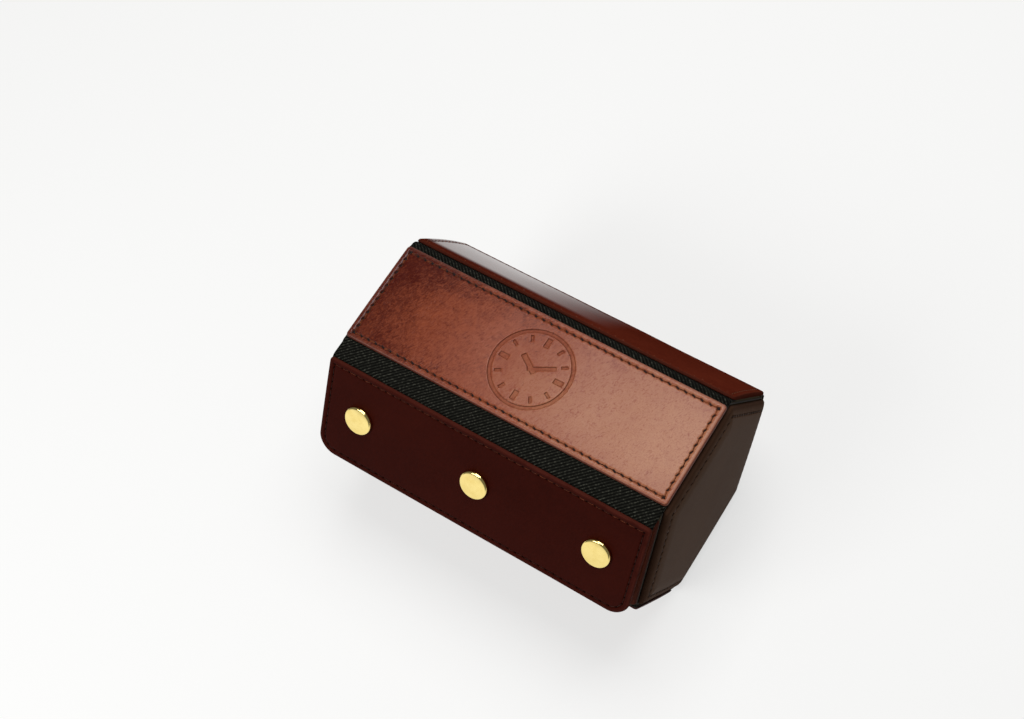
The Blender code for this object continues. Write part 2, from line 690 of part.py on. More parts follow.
def make_case(body):
    """Fixed panels of the case and the twill between them."""
    make_panel("base", body, WRAP, BASE_TURN)
    make_panel("rear_lower", body, WRAP, REAR_LOWER_TURN)
    make_panel("front_lower", body, WRAP, FRONT_LOWER_TURN)
    make_snap_panel(body)
    snap_low = lower_edge(FRONT_UPPER_TURN, SNAP_WRAP)
    make_strip("corner_strip_front", body, snap_low, upper_edge(FRONT_LOWER_TURN, WRAP))
    front_low = lower_edge(FRONT_LOWER_TURN, WRAP)
    make_strip("corner_strip_base_front", body, front_low, upper_edge(BASE_TURN, WRAP))
    base_low = lower_edge(BASE_TURN, WRAP)
    make_strip("corner_strip_base_rear", body, base_low, upper_edge(REAR_LOWER_TURN, WRAP))


def make_roll():
    """The case, then the lid that folds back on three twill hinges."""
    clear_scene()
    rear_corner = (lower_edge(REAR_LOWER_TURN, WRAP), upper_edge(REAR_UPPER_TURN, WRAP))
    top_corner = (lower_edge(REAR_UPPER_TURN, WRAP), upper_edge(TOP_TURN, WRAP))
    flap_corner = (lower_edge(TOP_TURN, WRAP), flap_edge())
    body = make_empty("body_frame", ROLL_CENTRE)
    lid_rear = make_empty("lid_rear_axis", hinge_point(*rear_corner))
    lid_top = make_empty("lid_top_axis", hinge_point(*top_corner), lid_rear)
    flap = make_empty("flap_axis", flap_hinge_point(), lid_top)
    make_case(body)
    make_panel("lid_rear", lid_rear, WRAP, REAR_UPPER_TURN)
    make_panel("lid_top", lid_top, WRAP, TOP_TURN)
    make_flap(flap)
    make_strip("hinge_strip_rear", body, *rear_corner)
    make_strip("hinge_strip_top", lid_rear, *top_corner)
    make_strip("hinge_strip_flap", lid_top, *flap_corner)
    for side, along in zip(SIDE_NAMES, SNAP_PLACES):
        make_snap(side, along, body, flap)
    for side, sign in (("left", -1), ("right", 1)):
        make_end_cap(side, sign, body)
        make_divider(side, sign, body)
    pitch = COMPARTMENT_LENGTH + DIVIDER_THICKNESS
    for side, step in zip(SIDE_NAMES, (-1, 0, 1)):
        make_cushion(side, step * pitch, body)


make_roll()
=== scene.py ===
import math
from collections import namedtuple

import bpy
from mathutils import Matrix, Quaternion, Vector, noise
from mathutils.kdtree import KDTree


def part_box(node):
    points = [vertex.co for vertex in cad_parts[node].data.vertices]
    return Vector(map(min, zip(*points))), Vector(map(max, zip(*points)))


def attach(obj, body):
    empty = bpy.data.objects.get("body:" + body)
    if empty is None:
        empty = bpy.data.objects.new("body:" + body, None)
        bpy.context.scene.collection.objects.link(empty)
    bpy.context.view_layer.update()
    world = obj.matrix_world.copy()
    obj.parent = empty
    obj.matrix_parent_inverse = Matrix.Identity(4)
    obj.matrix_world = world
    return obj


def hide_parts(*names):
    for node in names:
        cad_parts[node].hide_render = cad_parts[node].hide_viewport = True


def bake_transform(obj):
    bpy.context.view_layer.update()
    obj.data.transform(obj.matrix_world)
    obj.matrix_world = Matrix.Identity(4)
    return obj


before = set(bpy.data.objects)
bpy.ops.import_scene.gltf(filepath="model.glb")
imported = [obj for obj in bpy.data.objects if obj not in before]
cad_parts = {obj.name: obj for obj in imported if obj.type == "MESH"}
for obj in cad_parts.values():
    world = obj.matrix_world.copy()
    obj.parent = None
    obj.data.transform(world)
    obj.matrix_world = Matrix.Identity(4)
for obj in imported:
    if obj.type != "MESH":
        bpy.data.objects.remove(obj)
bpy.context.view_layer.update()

# Camera, floor and light. The closed roll stands on a plain pale floor. The camera looks
# down on it from the front right, turned as in the photograph, and one large soft lamp
# over the rear right side gives the top panel its sheen.
CAMERA_PLACE = Vector((0.24325, -0.22405, 0.77991))
CAMERA_AIM = Vector((-0.03108, 0.01807, 0.0547))
CAMERA_ROLL = math.radians(-17.83)
CAMERA_LENS = 57.3
FLOOR_WIDTH = 8.0
FLOOR_DROP = 0.0004
FLOOR_COLOUR = (0.82, 0.82, 0.81, 1)
FLOOR_ROUGHNESS = 0.9
FLOOR_GLOW = (1.0, 1.0, 0.995, 1)
FLOOR_GLOW_SHARE = 0.62
WORLD_COLOUR = (1.0, 0.99, 0.97, 1)
WORLD_STRENGTH = 0.18
LAMPS = (
    ("sheen_lamp", (0.02, 0.42, 1.25), (0.0, 0.0, 0.08), 0.85, 12.0),
    ("front_lamp", (-0.35, -0.85, 0.75), (-0.22, -0.55, 0.0), 0.50, 7.0),
)

lens = bpy.data.cameras.new("camera")
lens.lens = CAMERA_LENS
camera = bpy.data.objects.new("camera", lens)
bpy.context.scene.collection.objects.link(camera)
camera.location = CAMERA_PLACE
level_view = (CAMERA_AIM - CAMERA_PLACE).to_track_quat("-Z", "Y")
camera.rotation_euler = (level_view @ Quaternion((0, 0, 1), CAMERA_ROLL)).to_euler()
bpy.context.scene.camera = camera
bpy.context.scene.view_settings.view_transform = "Standard"

world = bpy.data.worlds.new("studio")
bpy.context.scene.world = world
world.use_nodes = True
world.node_tree.nodes["Background"].inputs["Color"].default_value = WORLD_COLOUR
world.node_tree.nodes["Background"].inputs["Strength"].default_value = WORLD_STRENGTH

for lamp_name, lamp_place, lamp_aim, lamp_width, lamp_power in LAMPS:
    bpy.ops.object.light_add(type="AREA", location=lamp_place)
    lamp = bpy.context.object
    lamp.name = lamp_name
    lamp.rotation_euler = (Vector(lamp_aim) - lamp.location).to_track_quat("-Z", "Y").to_euler()
    lamp.data.size = lamp_width
    lamp.data.energy = lamp_power


class Shade:
    """One socket of a material. Arithmetic on it adds Math nodes to that material."""

    def __init__(self, tree, socket=None):
        self.tree = tree
        self.socket = socket

    def node(self, kind, settings=(), inputs=(), output=0):
        """Add a node: its settings first, then the values or links of its sockets."""
        made = self.tree.nodes.new(kind)
        for name, value in dict(settings).items():
            setattr(made, name, value)
        for name, value in dict(inputs).items():
            if isinstance(value, Shade):
                self.tree.links.new(value.socket, made.inputs[name])
            else:
                made.inputs[name].default_value = value
        return Shade(self.tree, made.outputs[output])

    def maths(self, operation, *others):
        return self.node("ShaderNodeMath", {"operation": operation}, enumerate((self, *others)))

    def __add__(self, other):
        return self.maths("ADD", other)

    def __sub__(self, other):
        return self.maths("SUBTRACT", other)

    def __rsub__(self, other):
        return self.maths("MULTIPLY_ADD", -1.0, other)

    def __mul__(self, other):
        return self.maths("MULTIPLY", other)

    __radd__ = __add__
    __rmul__ = __mul__

    def band(self, low, high):
        """0 below low, 1 above high, and a smooth step between them."""
        return self.node("ShaderNodeMapRange", {"interpolation_type": "SMOOTHSTEP"},
                         {"Value": self, "From Min": low, "From Max": high})

    def tint(self, first, second):
        """Colour that runs from the first to the second with this value."""
        return self.node("ShaderNodeMix", {"data_type": "RGBA"}, {0: self, 6: first, 7: second}, 2)

    def stretched(self, scale, turn=(0, 0, 0)):
        """These coordinates, for a pattern drawn out along its own axes and turned."""
        return self.node("ShaderNodeMapping", {"vector_type": "TEXTURE"},
                         {"Vector": self, "Scale": scale, "Rotation": turn})

    def axis(self, name):
        """One coordinate of these."""
        return self.node("ShaderNodeSeparateXYZ", {}, {"Vector": self}, name)

    def cloud(self, scale, detail, roughness, distortion=0.0):
        """Soft noise on these coordinates."""
        return self.node("ShaderNodeTexNoise", {}, {"Vector": self, "Scale": scale, "Detail": detail,
                                                    "Roughness": roughness, "Distortion": distortion})

    def cells(self, scale):
        """Cell noise on these coordinates."""
        return self.node("ShaderNodeTexVoronoi", {}, {"Vector": self, "Scale": scale})

    def relief(self, distance, strength):
        """Surface normal bent by this height."""
        return self.node("ShaderNodeBump", {}, {"Height": self, "Distance": distance,
                                                "Strength": strength})


bpy.ops.mesh.primitive_grid_add(x_subdivisions=2, y_subdivisions=2, size=FLOOR_WIDTH,
                                location=(0, 0, -FLOOR_DROP))
floor = bpy.context.object
floor.name = "floor"
floor_paint = bpy.data.materials.new("floor_paint")
floor_paint.use_nodes = True
matte = floor_paint.node_tree.nodes["Principled BSDF"]
matte.inputs["Base Color"].default_value = FLOOR_COLOUR
matte.inputs["Roughness"].default_value = FLOOR_ROUGHNESS
paint = Shade(floor_paint.node_tree, matte.outputs[0])
seen, mirrored, through = [paint.node("ShaderNodeLightPath", output=ray) for ray in
                           ("Is Camera Ray", "Is Glossy Ray", "Is Transmission Ray")]
glow = paint.node("ShaderNodeEmission", {}, {"Color": FLOOR_GLOW})
backdrop = paint.node("ShaderNodeMixShader", {}, {0: (seen + mirrored + through) * FLOOR_GLOW_SHARE,
                                                  1: paint, 2: glow})
floor_paint.node_tree.links.new(backdrop.socket,
                                floor_paint.node_tree.nodes["Material Output"].inputs["Surface"])
floor.data.materials.append(floor_paint)


# Stiffener boards: dense grey-brown board cut by blade, with the cut edges dyed dark.
# They are glued between leather and lining, so only their ends show at the roll's ends.
BOARD_DARK = (0.024, 0.018, 0.010, 1)
BOARD_PALE = (0.074, 0.058, 0.034, 1)
BOARD_FIBRE_SCALE = 900.0
BOARD_FIBRE_STRETCH = (4.0, 1.0, 1.0)
BOARD_FIBRE_HEIGHT = 0.0002


def new_finish(name, **fixed):
    """Material with one shader, whose named sockets are the same all over."""
    material = bpy.data.materials.new(name)
    material.use_nodes = True
    shader = material.node_tree.nodes["Principled BSDF"]
    for socket, value in fixed.items():
        shader.inputs[socket.replace("_", " ")].default_value = value
    place = Shade(material.node_tree).node("ShaderNodeTexCoord", output="Object")
    return material, place


def feed(material, **links):
    """Link values to the sockets of a material's shader."""
    shader = material.node_tree.nodes["Principled BSDF"]
    for socket, value in links.items():
        material.node_tree.links.new(value.socket, shader.inputs[socket.replace("_", " ")])
    return material


def repaint(node, material):
    """Give a CAD node its finish."""
    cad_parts[node].data.materials.clear()
    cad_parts[node].data.materials.append(material)


board_finish, place = new_finish("board_finish", Roughness=0.85, Specular_IOR_Level=0.02)
fibre = place.stretched(BOARD_FIBRE_STRETCH).cloud(BOARD_FIBRE_SCALE, 3.0, 0.6)
feed(board_finish, Base_Color=fibre.tint(BOARD_DARK, BOARD_PALE),
     Normal=fibre.relief(BOARD_FIBRE_HEIGHT, 0.6))
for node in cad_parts:
    if node.endswith("_board") or node == "flap_core":
        repaint(node, board_finish)


# Linings: thin dark suede cloth glued over the inner face of every board. Its short nap
# lies in soft patches that catch the light differently.
LINING_DARK = (0.030, 0.026, 0.023, 1)
LINING_PALE = (0.075, 0.066, 0.058, 1)
LINING_SHEEN = 0.06
NAP_SCALE = 2600.0
NAP_PATCH_SCALE = 38.0
NAP_BRUSH_SCALE = 420.0
NAP_BRUSH_STRETCH = (1.0, 3.0, 3.0)
NAP_HEIGHT = 0.00025


def suede(name, dark, pale, sheen):
    """Brushed suede cloth: patches of nap over very short fibres."""
    finish, place = new_finish(name, Roughness=0.95, Specular_IOR_Level=0.04,
                               Sheen_Weight=sheen, Sheen_Roughness=0.4)
    patches = place.cloud(NAP_PATCH_SCALE, 4.0, 0.6, 0.4)
    nap = place.cloud(NAP_SCALE, 2.0, 0.7)
    brushed = place.stretched(NAP_BRUSH_STRETCH).cloud(NAP_BRUSH_SCALE, 3.0, 0.6)
    tone = (patches.band(0.3, 0.7) * 0.34 + nap * 0.36 + brushed * 0.3).tint(dark, pale)
    height = nap * 0.6 + brushed * 0.5
    return feed(finish, Base_Color=tone, Normal=height.relief(NAP_HEIGHT, 0.55))


lining_finish = suede("lining_finish", LINING_DARK, LINING_PALE, LINING_SHEEN)
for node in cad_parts:
    if node.endswith("_lining"):
        repaint(node, lining_finish)


# Leather faces of the wrap: five like panels and the snap panel. Each is one piece of
# smooth full-grain cowhide, rolled over at its edges and sewn down all round, so that
# the seam lies in a shallow trench with a slanted slot for every stitch.
ROLL_AXIS = Vector((0, 0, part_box("lid_top_facing")[1].z / 2))
SEAM_PITCH = 0.0042
SEAM_INSET = 0.0032
SEAM_DEPTH = 0.00030
SEAM_WIDTH = 0.00052
Stitch = namedtuple("Stitch", "slant half width depth thread reach")
HIDE_STITCH = Stitch(slant=math.radians(-27.0), half=0.00074, width=0.00037, depth=0.00075,
                     thread=0.00024, reach=0.7)
SLOT_LIP = 0.00006
SLOT_LIP_WIDTHS = 2.4
TRENCH_SHADE = 0.42
EDGE_ROLL = 0.0009
NEAR_EDGE_REACH = 0.0012
BORDER_PUFF = 0.00022
WAVE_HEIGHT = 0.00016
WAVE_LENGTH = 0.030
PANEL_CORNER = 0.0020
PANEL_CROWN = 0.0005
COARSE_CELL = 0.00105
FINE_BAND = 0.0054
TOP_CROWN = 0.0003

WRAP_PANELS = (
    ("lid_top", 0, "lid_top", TOP_CROWN),
    ("front_lower", 120, "case", PANEL_CROWN),
    ("base", 180, "case", 0.0),
    ("rear_lower", 240, "case", PANEL_CROWN),
    ("lid_rear", 300, "lid_rear", 2 * PANEL_CROWN),
    ("snap_panel", 60, "case", 0.0),
)


def face_box(node, degrees):
    """Lowest and highest corner of a CAD node, seen with its own face turned to the top."""
    upright = Matrix.Rotation(-math.radians(degrees), 3, "X")
    points = [upright @ (vertex.co - ROLL_AXIS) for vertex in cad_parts[node].data.vertices]
    low = Vector([min(point[axis] for point in points) for axis in range(3)])
    high = Vector([max(point[axis] for point in points) for axis in range(3)])
    return low, high


def put_on_face(degrees, low, high, *pieces):
    """Turn flat work to its own face of the roll, over the middle of its CAD node."""
    place = Matrix.Translation(ROLL_AXIS) @ Matrix.Rotation(math.radians(degrees), 4, "X")
    place @= Matrix.Translation(((low.x + high.x) / 2, (low.y + high.y) / 2, 0))
    for piece in pieces:
        piece.data.transform(place)


def edge_gap(x, y, half, radii):
    """How far a point lies inside a rounded outline, whose corner radii are (far, near)."""
    radius = radii[0] if y > 0 else radii[1]
    over_x = abs(x) - half[0] + radius
    over_y = abs(y) - half[1] + radius
    outside = math.hypot(max(over_x, 0.0), max(over_y, 0.0))
    return radius - outside - min(max(over_x, over_y), 0.0)


def named(name):
    """The primitive just added, under its own name and with its place in its mesh."""
    piece = bpy.context.object
    piece.name = name
    piece.data.name = name
    bpy.ops.object.transform_apply()
    return piece


def even_steps(path, pitch):
    """Points at an even pitch along a path, from its first point to its last."""
    lengths = [0.0]
    for here, ahead in zip(path, path[1:]):
        lengths.append(lengths[-1] + (ahead - here).length)
    count = max(1, round(lengths[-1] / pitch))
    points = []
    index = 0
    for step in range(count + 1):
        along = lengths[-1] * step / count
        while index < len(path) - 2 and lengths[index + 1] < along:
            index += 1
        share = (along - lengths[index]) / (lengths[index + 1] - lengths[index])
        points.append(path[index].lerp(path[index + 1], share))
    return points


def arc(middle, radius, start, end, steps=10):
    """Points of an arc in the plane, its angles in degrees."""
    angles = [math.radians(start + (end - start) * step / steps) for step in range(steps + 1)]
    return [middle + Vector((radius * math.cos(angle), radius * math.sin(angle))) for angle in angles]


def slots_of(line, stitch):
    """Middle and slanted direction of the slot at each point of a seam line."""
    slots = []
    for index, point in enumerate(line):
        before = line[max(index - 1, 0)]
        after = line[min(index + 1, len(line) - 1)]
        heading = (after - before).normalized()
        slots.append((point, Matrix.Rotation(stitch.slant, 2) @ heading))
    return slots


def slot_finder(lines, stitch):
    """Search tree of the slots: five points along each."""
    points = []
    for line in lines:
        for point, heading in slots_of(line, stitch):
            points += [point + heading * stitch.half * share for share in (-1, -0.5, 0, 0.5, 1)]
    tree = KDTree(len(points))
    for index, point in enumerate(points):
        tree.insert(point.to_3d(), index)
    tree.balance()
    return tree


def refine(piece, wanted, cuts):
    """Cut the faces whose middle is wanted into smaller ones."""
    bpy.context.tool_settings.mesh_select_mode = (False, False, True)
    bpy.ops.object.mode_set(mode="EDIT")
    bpy.ops.mesh.select_all(action="DESELECT")
    bpy.ops.object.mode_set(mode="OBJECT")
    for polygon in piece.data.polygons:
        polygon.select = wanted(polygon.center)
    bpy.ops.object.mode_set(mode="EDIT")
    bpy.ops.mesh.subdivide(number_cuts=cuts)
    bpy.ops.object.mode_set(mode="OBJECT")


def face_outwards():
    """Turn all faces of the active piece outwards."""
    bpy.ops.object.mode_set(mode="EDIT")
    bpy.ops.mesh.select_all(action="SELECT")
    bpy.ops.mesh.normals_make_consistent(inside=False)
    bpy.ops.object.mode_set(mode="OBJECT")


def close_back(piece, back):
    """Close a shaped top face with side walls down to a flat back."""
    bpy.ops.object.mode_set(mode="EDIT")
    bpy.ops.mesh.select_all(action="SELECT")
    bpy.ops.mesh.region_to_loop()
    bpy.ops.mesh.extrude_edges_move()
    bpy.ops.mesh.edge_face_add()
    bpy.ops.object.mode_set(mode="OBJECT")
    for index in max(piece.data.polygons, key=lambda polygon: len(polygon.vertices)).vertices:
        piece.data.vertices[index].co.z = back
    face_outwards()
    for polygon in piece.data.polygons:
        polygon.use_smooth = len(polygon.vertices) < 5


def store(piece, name, values):
    """Keep one number for each vertex of a piece, for its material."""
    piece.data.attributes.new(name, "FLOAT", "POINT").data.foreach_set("value", values)


def lay_flat(piece):
    """Give a flat piece its own X and Y, in metres, as its pattern coordinates."""
    spots = [piece.data.vertices[loop.vertex_index].co.xy for loop in piece.data.loops]
    piece.data.uv_layers.active.data.foreach_set("uv", [value for spot in spots for value in spot])


def rolled(gap):
    """How far a rolled edge has dropped at this distance inside it."""
    if gap >= EDGE_ROLL:
        return 0.0
    inside = max(gap, 0.0)
    return EDGE_ROLL - math.sqrt(EDGE_ROLL ** 2 - (EDGE_ROLL - inside) ** 2)


def sewn_relief(x, y, gap, inset, tree, stitch):
    """Height and depth of shade of sewn leather at a point of its face."""
    from_seam = gap - inset
    trench = math.exp(-(from_seam / SEAM_WIDTH) ** 2)
    slot_gap = tree.find((x, y, 0.0))[2]
    slot = math.exp(-(slot_gap / stitch.width) ** 2)
    puff = math.sin(math.pi * gap / inset) if 0 < gap < inset else 0.0
    lip = math.exp(-(slot_gap / stitch.width - SLOT_LIP_WIDTHS) ** 2) if gap < inset else 0.0
    wave = noise.noise((x / WAVE_LENGTH, y / WAVE_LENGTH, inset))
    height = BORDER_PUFF * puff - SEAM_DEPTH * trench - stitch.depth * slot
    height += WAVE_HEIGHT * wave + SLOT_LIP * lip
    return height - rolled(gap), min(1.0, slot + TRENCH_SHADE * trench)


def sculpt_leather(piece, half, radii, inset, lines, crown, stitch, stamp=None):
    """Round the corners of a flat grid, then raise and sink it as sewn leather."""
    tree = slot_finder(lines, stitch)
    shade = []
    near_edge = []
    for vertex in piece.data.vertices:
        x, y = vertex.co.x, vertex.co.y
        radius = radii[0] if y > 0 else radii[1]
        over_x = abs(x) - half[0] + radius
        over_y = abs(y) - half[1] + radius
        if over_x > 0 and over_y > 0:
            pull = max(over_x, over_y) / math.hypot(over_x, over_y)
            x = math.copysign(half[0] - radius + over_x * pull, x)
            y = math.copysign(half[1] - radius + over_y * pull, y)
        gap = edge_gap(x, y, half, radii)
        height, sunk = sewn_relief(x, y, gap, inset, tree, stitch)
        if stamp:
            pressed = stamp(x, y)
            height -= STAMP_DEPTH * pressed
            # Painted shade on the stamp's floor and along its walls.
            sunk = max(sunk, STAMP_SHADE * pressed + STAMP_WALL_SHADE * pressed * (1 - pressed))
        height += crown * (1 - (y / half[1]) ** 2)
        vertex.co = (x, y, vertex.co.z + height)
        shade.append(sunk)
        near_edge.append(math.exp(-(gap / NEAR_EDGE_REACH) ** 2))
    lay_flat(piece)
    store(piece, "sunk", shade)
    store(piece, "near_edge", near_edge)


def panel_seams(half, inset):
    """The four seam lines round a square cornered panel."""
    x, y = half[0] - inset, half[1] - inset
    corners = [Vector((x, y)), Vector((-x, y)), Vector((-x, -y)), Vector((x, -y))]
    return [even_steps([here, ahead], SEAM_PITCH)
            for here, ahead in zip(corners, corners[1:] + corners[:1])]


# Plain watch dial in the top panel's leather: a ring, twelve strokes and two hands, pressed
# into it with a warm brass stamp before it is glued down.
STAMP_DEPTH = 0.00060
STAMP_SHADE = 0.22
# Painted shade along the stamp's walls.
STAMP_WALL_SHADE = 1.9
STAMP_SOFT = 0.00034
STAMP_RING_RADIUS = 0.0196
STAMP_RING_HALF = 0.00085
STAMP_STROKE_INNER = 0.0140
STAMP_STROKE_OUTER = 0.0172
STAMP_STROKE_HALF = 0.00062
STAMP_QUARTER_HALF = 0.00120
STAMP_QUARTER_INNER = 0.0124
STAMP_HANDS = ((-56.0, 0.0086, 0.00125), (62.0, 0.0116, 0.00095))


def bar_gap(x, y, degrees, inner, outer, half):
    """Distance of a point outside a bar that runs out from the dial's middle."""
    turn = math.radians(degrees)
    across = abs(x * math.cos(turn) - y * math.sin(turn))
    along = x * math.sin(turn) + y * math.cos(turn)
    return max(across - half, inner - along, along - outer)


def stamped(x, y):
    """1 where the stamp presses the leather down, 0 elsewhere."""
    radius = math.hypot(x, y)
    if radius > STAMP_RING_RADIUS + 4 * STAMP_SOFT + STAMP_RING_HALF:
        return 0.0
    hour = round(math.atan2(x, y) / math.radians(30.0))
    stroke_half = STAMP_STROKE_HALF if hour % 3 else STAMP_QUARTER_HALF
    inner = STAMP_STROKE_INNER if hour % 3 else STAMP_QUARTER_INNER
    gaps = [bar_gap(x, y, 30.0 * hour, inner, STAMP_STROKE_OUTER, stroke_half),
            abs(radius - STAMP_RING_RADIUS) - STAMP_RING_HALF]
    for degrees, reach, half in STAMP_HANDS:
        gaps.append(bar_gap(x, y, degrees, -2 * half, reach, half))
    return 1.0 - min(1.0, max(0.0, min(gaps) / STAMP_SOFT + 0.5))


# Dark, warm and pale tone of the top panel; its pale tan is partly painted sheen.
HIDE_DYES_AND_SHEEN = ((0.052, 0.0042, 0.0014, 1), (0.225, 0.049, 0.019, 1), (0.395, 0.172, 0.085, 1))
# Pinkish border of the top panel: rub and a painted highlight on the rolled edge.
HIDE_RUB_AND_HIGHLIGHT = (0.25, 0.092, 0.062, 1)
# Painted shade on the rolled-off outer edge of the top panel.
HIDE_EDGE_SHADE = (0.085, 0.018, 0.010, 1)
SIDE_DYES = ((0.060, 0.0090, 0.0050, 1), (0.165, 0.040, 0.018, 1), (0.24, 0.085, 0.040, 1))
# Darker border of the other panels and the rear panel: painted shade.
SIDE_BORDER_SHADE = (0.085, 0.022, 0.012, 1)
# Painted shade on the rolled-off outer edge of the other panels.
SIDE_EDGE_SHADE = (0.035, 0.008, 0.005, 1)
# Rear panel tones: dark red dye, darkened further with painted shade.
REAR_DYES_AND_SHADE = ((0.055, 0.0070, 0.0035, 1), (0.105, 0.017, 0.008, 1), (0.14, 0.032, 0.016, 1))
# Painted shade in the stitch slots, the seam trench and the stamp.
SUNK_SHADE_COLOUR = (0.007, 0.002, 0.0015, 1)
HAIR_LEAN = (0, 0, math.radians(-22.0))
CLOUD_SCALE = 21.0
MOTTLE_SCALE = 120.0
HAIR_SCALE = 1500.0
HAIR_STRETCH = (1.0, 4.0, 1.0)
WRINKLE_SCALE = 680.0
WRINKLE_STRETCH = (1.0, 1.5, 1.0)
PORE_SCALE = 1900.0
FOLD_SCALE = 75.0
FOLD_STRETCH = (2.6, 1.0, 1.0)
FOLD_LEAN = (0, 0, math.radians(35.0))
CREASE_PATCH_SCALE = 60.0
CREASE_PATCH_SPAN = (0.58, 0.68)
HIDE_HEIGHT = 0.00007
DYE_SPAN = (-0.08, 0.55)
PALE_DYE_SPAN = (0.45, 1.20)
EDGE_SPAN = (0.70, 0.95)
SLOT_SPAN = (0.12, 0.8)
# Span along X over which the painted sheen rises from none to full.
SHEEN_RAMP_SPAN = (-0.125, 0.075)
REARWARD_SPAN = (-0.008, 0.028)
# Distance from the middle at which the painted shade along the long edges begins and is full.
SHEEN_EDGE_FALLOFF_SPAN = (0.010, 0.025)
WARM_SPOT = (-0.060, -0.003, 0.0)
WARM_REACH = 0.048
WAX_ACROSS_SPAN = (-0.050, 0.020)
WAX_DOWN_SPAN = (-0.021, -0.013)
WAX_ROUGHNESS = 0.16


def hide(name, tones, painted_border_colour, edge_shade_colour, roughness, specular, painted_sheen=0.0, polish=0.0):
    """Smooth cowhide: cloudy dye, hair fine streaks across the panel, pores and creases.

    Painted sheen is how strongly a paler tone is painted in towards the right, standing in for the
    lamp's sheen. Polish is the wax on its left half."""
    dark, warm, pale = tones
    finish, place = new_finish(name, Specular_IOR_Level=specular, Coat_Roughness=WAX_ROUGHNESS)
    sunk = place.node("ShaderNodeAttribute", {"attribute_name": "sunk"}, output="Fac")
    near_edge = place.node("ShaderNodeAttribute", {"attribute_name": "near_edge"}, output="Fac")
    flat = place.node("ShaderNodeUVMap", output="UV")
    clouds = flat.cloud(CLOUD_SCALE, 3.0, 0.5)
    mottle = flat.cloud(MOTTLE_SCALE, 4.0, 0.6)
    hair = flat.stretched(HAIR_STRETCH, HAIR_LEAN).cloud(HAIR_SCALE, 4.0, 0.65, 0.5)
    wrinkles = flat.stretched(WRINKLE_STRETCH, HAIR_LEAN).cloud(WRINKLE_SCALE, 4.0, 0.65, 1.4)
    pores = flat.cells(PORE_SCALE)
    folds = flat.stretched(FOLD_STRETCH, FOLD_LEAN).cloud(FOLD_SCALE, 2.0, 0.5, 0.8) - 0.5
    creased = flat.cloud(CREASE_PATCH_SCALE, 3.0, 0.6).band(*CREASE_PATCH_SPAN)
    creases = (1 - folds.maths("ABSOLUTE").band(0.0, 0.008)) * creased
    # Painted sheen: with its strength the tone grows paler towards the right and the grain shows
    # stronger there, standing in for the lamp's sheen. The same strength darkens the rear of the left
    # end and lifts a warmer spot left of the middle.
    across = place.axis("X").band(*SHEEN_RAMP_SPAN)
    rearward = flat.axis("Y").band(*REARWARD_SPAN) * (1 - across) * (0.24 * painted_sheen)
    texture = ((mottle - 0.5) * 0.34 + (hair - 0.5) * 0.62) * (0.60 + across * (1.3 * painted_sheen))
    texture += (wrinkles - 0.5) * (0.14 + across * (1.9 * painted_sheen))
    level = across * (1.08 * painted_sheen) + (clouds - 0.5) * 0.50 + texture
    level = level - rearward + (0.22 - 0.30 * painted_sheen)
    warmth = flat.node("ShaderNodeVectorMath", {"operation": "DISTANCE"},
                       {0: flat, 1: WARM_SPOT}, "Value").band(WARM_REACH, 0.0)
    # Painted shade: towards the right the tone darkens near the long edges, holding back the painted
    # sheen there.
    sheen_edge_falloff = flat.axis("Y").maths("ABSOLUTE").band(*SHEEN_EDGE_FALLOFF_SPAN) * across * (0.15 * painted_sheen)
    level = level + warmth * (0.13 * painted_sheen) - sheen_edge_falloff
    tone = level.band(*DYE_SPAN).tint(dark, warm)
    tone = level.band(*PALE_DYE_SPAN).tint(tone, pale)
    # Grain marks show stronger towards the right, and more so under the painted sheen.
    marks = hair.band(0.48, 0.68) * 0.30 + wrinkles.band(0.48, 0.64) * 0.42
    marks = (marks + mottle.band(0.46, 0.70) * 0.14) * (0.3 + across * (0.4 + 0.6 * painted_sheen))
    tone = marks.tint(tone, warm)
    # Painted shade in the creases.
    tone = (creases * 0.35).tint(tone, dark)
    # Border colour near the edge, patchy and stronger towards the right: rub with a painted highlight
    # on the top panel and flap, painted shade on the other panels and the caps.
    tone = (near_edge * mottle.band(0.2, 0.6) * 0.75 * (0.45 + 0.55 * across)).tint(tone, painted_border_colour)
    # Painted shade on the rolled-off outer edge.
    tone = (near_edge.band(*EDGE_SPAN) * 0.75).tint(tone, edge_shade_colour)
    # Painted shade in the slots, the seam trench and the stamp.
    tone = sunk.band(*SLOT_SPAN).tint(tone, SUNK_SHADE_COLOUR)
    gloss = hair * 0.10 + mottle * 0.07 + across * (0.085 * painted_sheen) + (roughness - 0.085)
    gloss = gloss + sunk.band(0.02, 0.22) * 0.42 + near_edge * 0.30
    height = hair * 0.7 + wrinkles * 0.7 + pores * 0.25 + mottle * 0.6 - creases * 0.6
    if polish:
        wax = (1 - place.axis("X").band(*WAX_ACROSS_SPAN)) * flat.axis("Y").band(*WAX_DOWN_SPAN)
        feed(finish, Coat_Weight=wax * polish)
    return feed(finish, Base_Color=tone, Roughness=gloss, Normal=height.relief(HIDE_HEIGHT, 0.6))


# The top panel gets the painted sheen, its tone paling to tan towards the right.
hide_finish = hide("hide_finish", HIDE_DYES_AND_SHEEN, HIDE_RUB_AND_HIGHLIGHT, HIDE_EDGE_SHADE, roughness=0.155, specular=0.24,
                   painted_sheen=1.0)
side_finish = hide("side_finish", SIDE_DYES, SIDE_BORDER_SHADE, SIDE_EDGE_SHADE, roughness=0.40, specular=0.09)
snap_side_finish = hide("snap_side_finish", SIDE_DYES, SIDE_BORDER_SHADE, SIDE_EDGE_SHADE, roughness=0.50,
                        specular=0.04)
rear_finish = hide("rear_finish", REAR_DYES_AND_SHADE, SIDE_BORDER_SHADE, SIDE_EDGE_SHADE, roughness=0.45, specular=0.0,
                   polish=0.95)


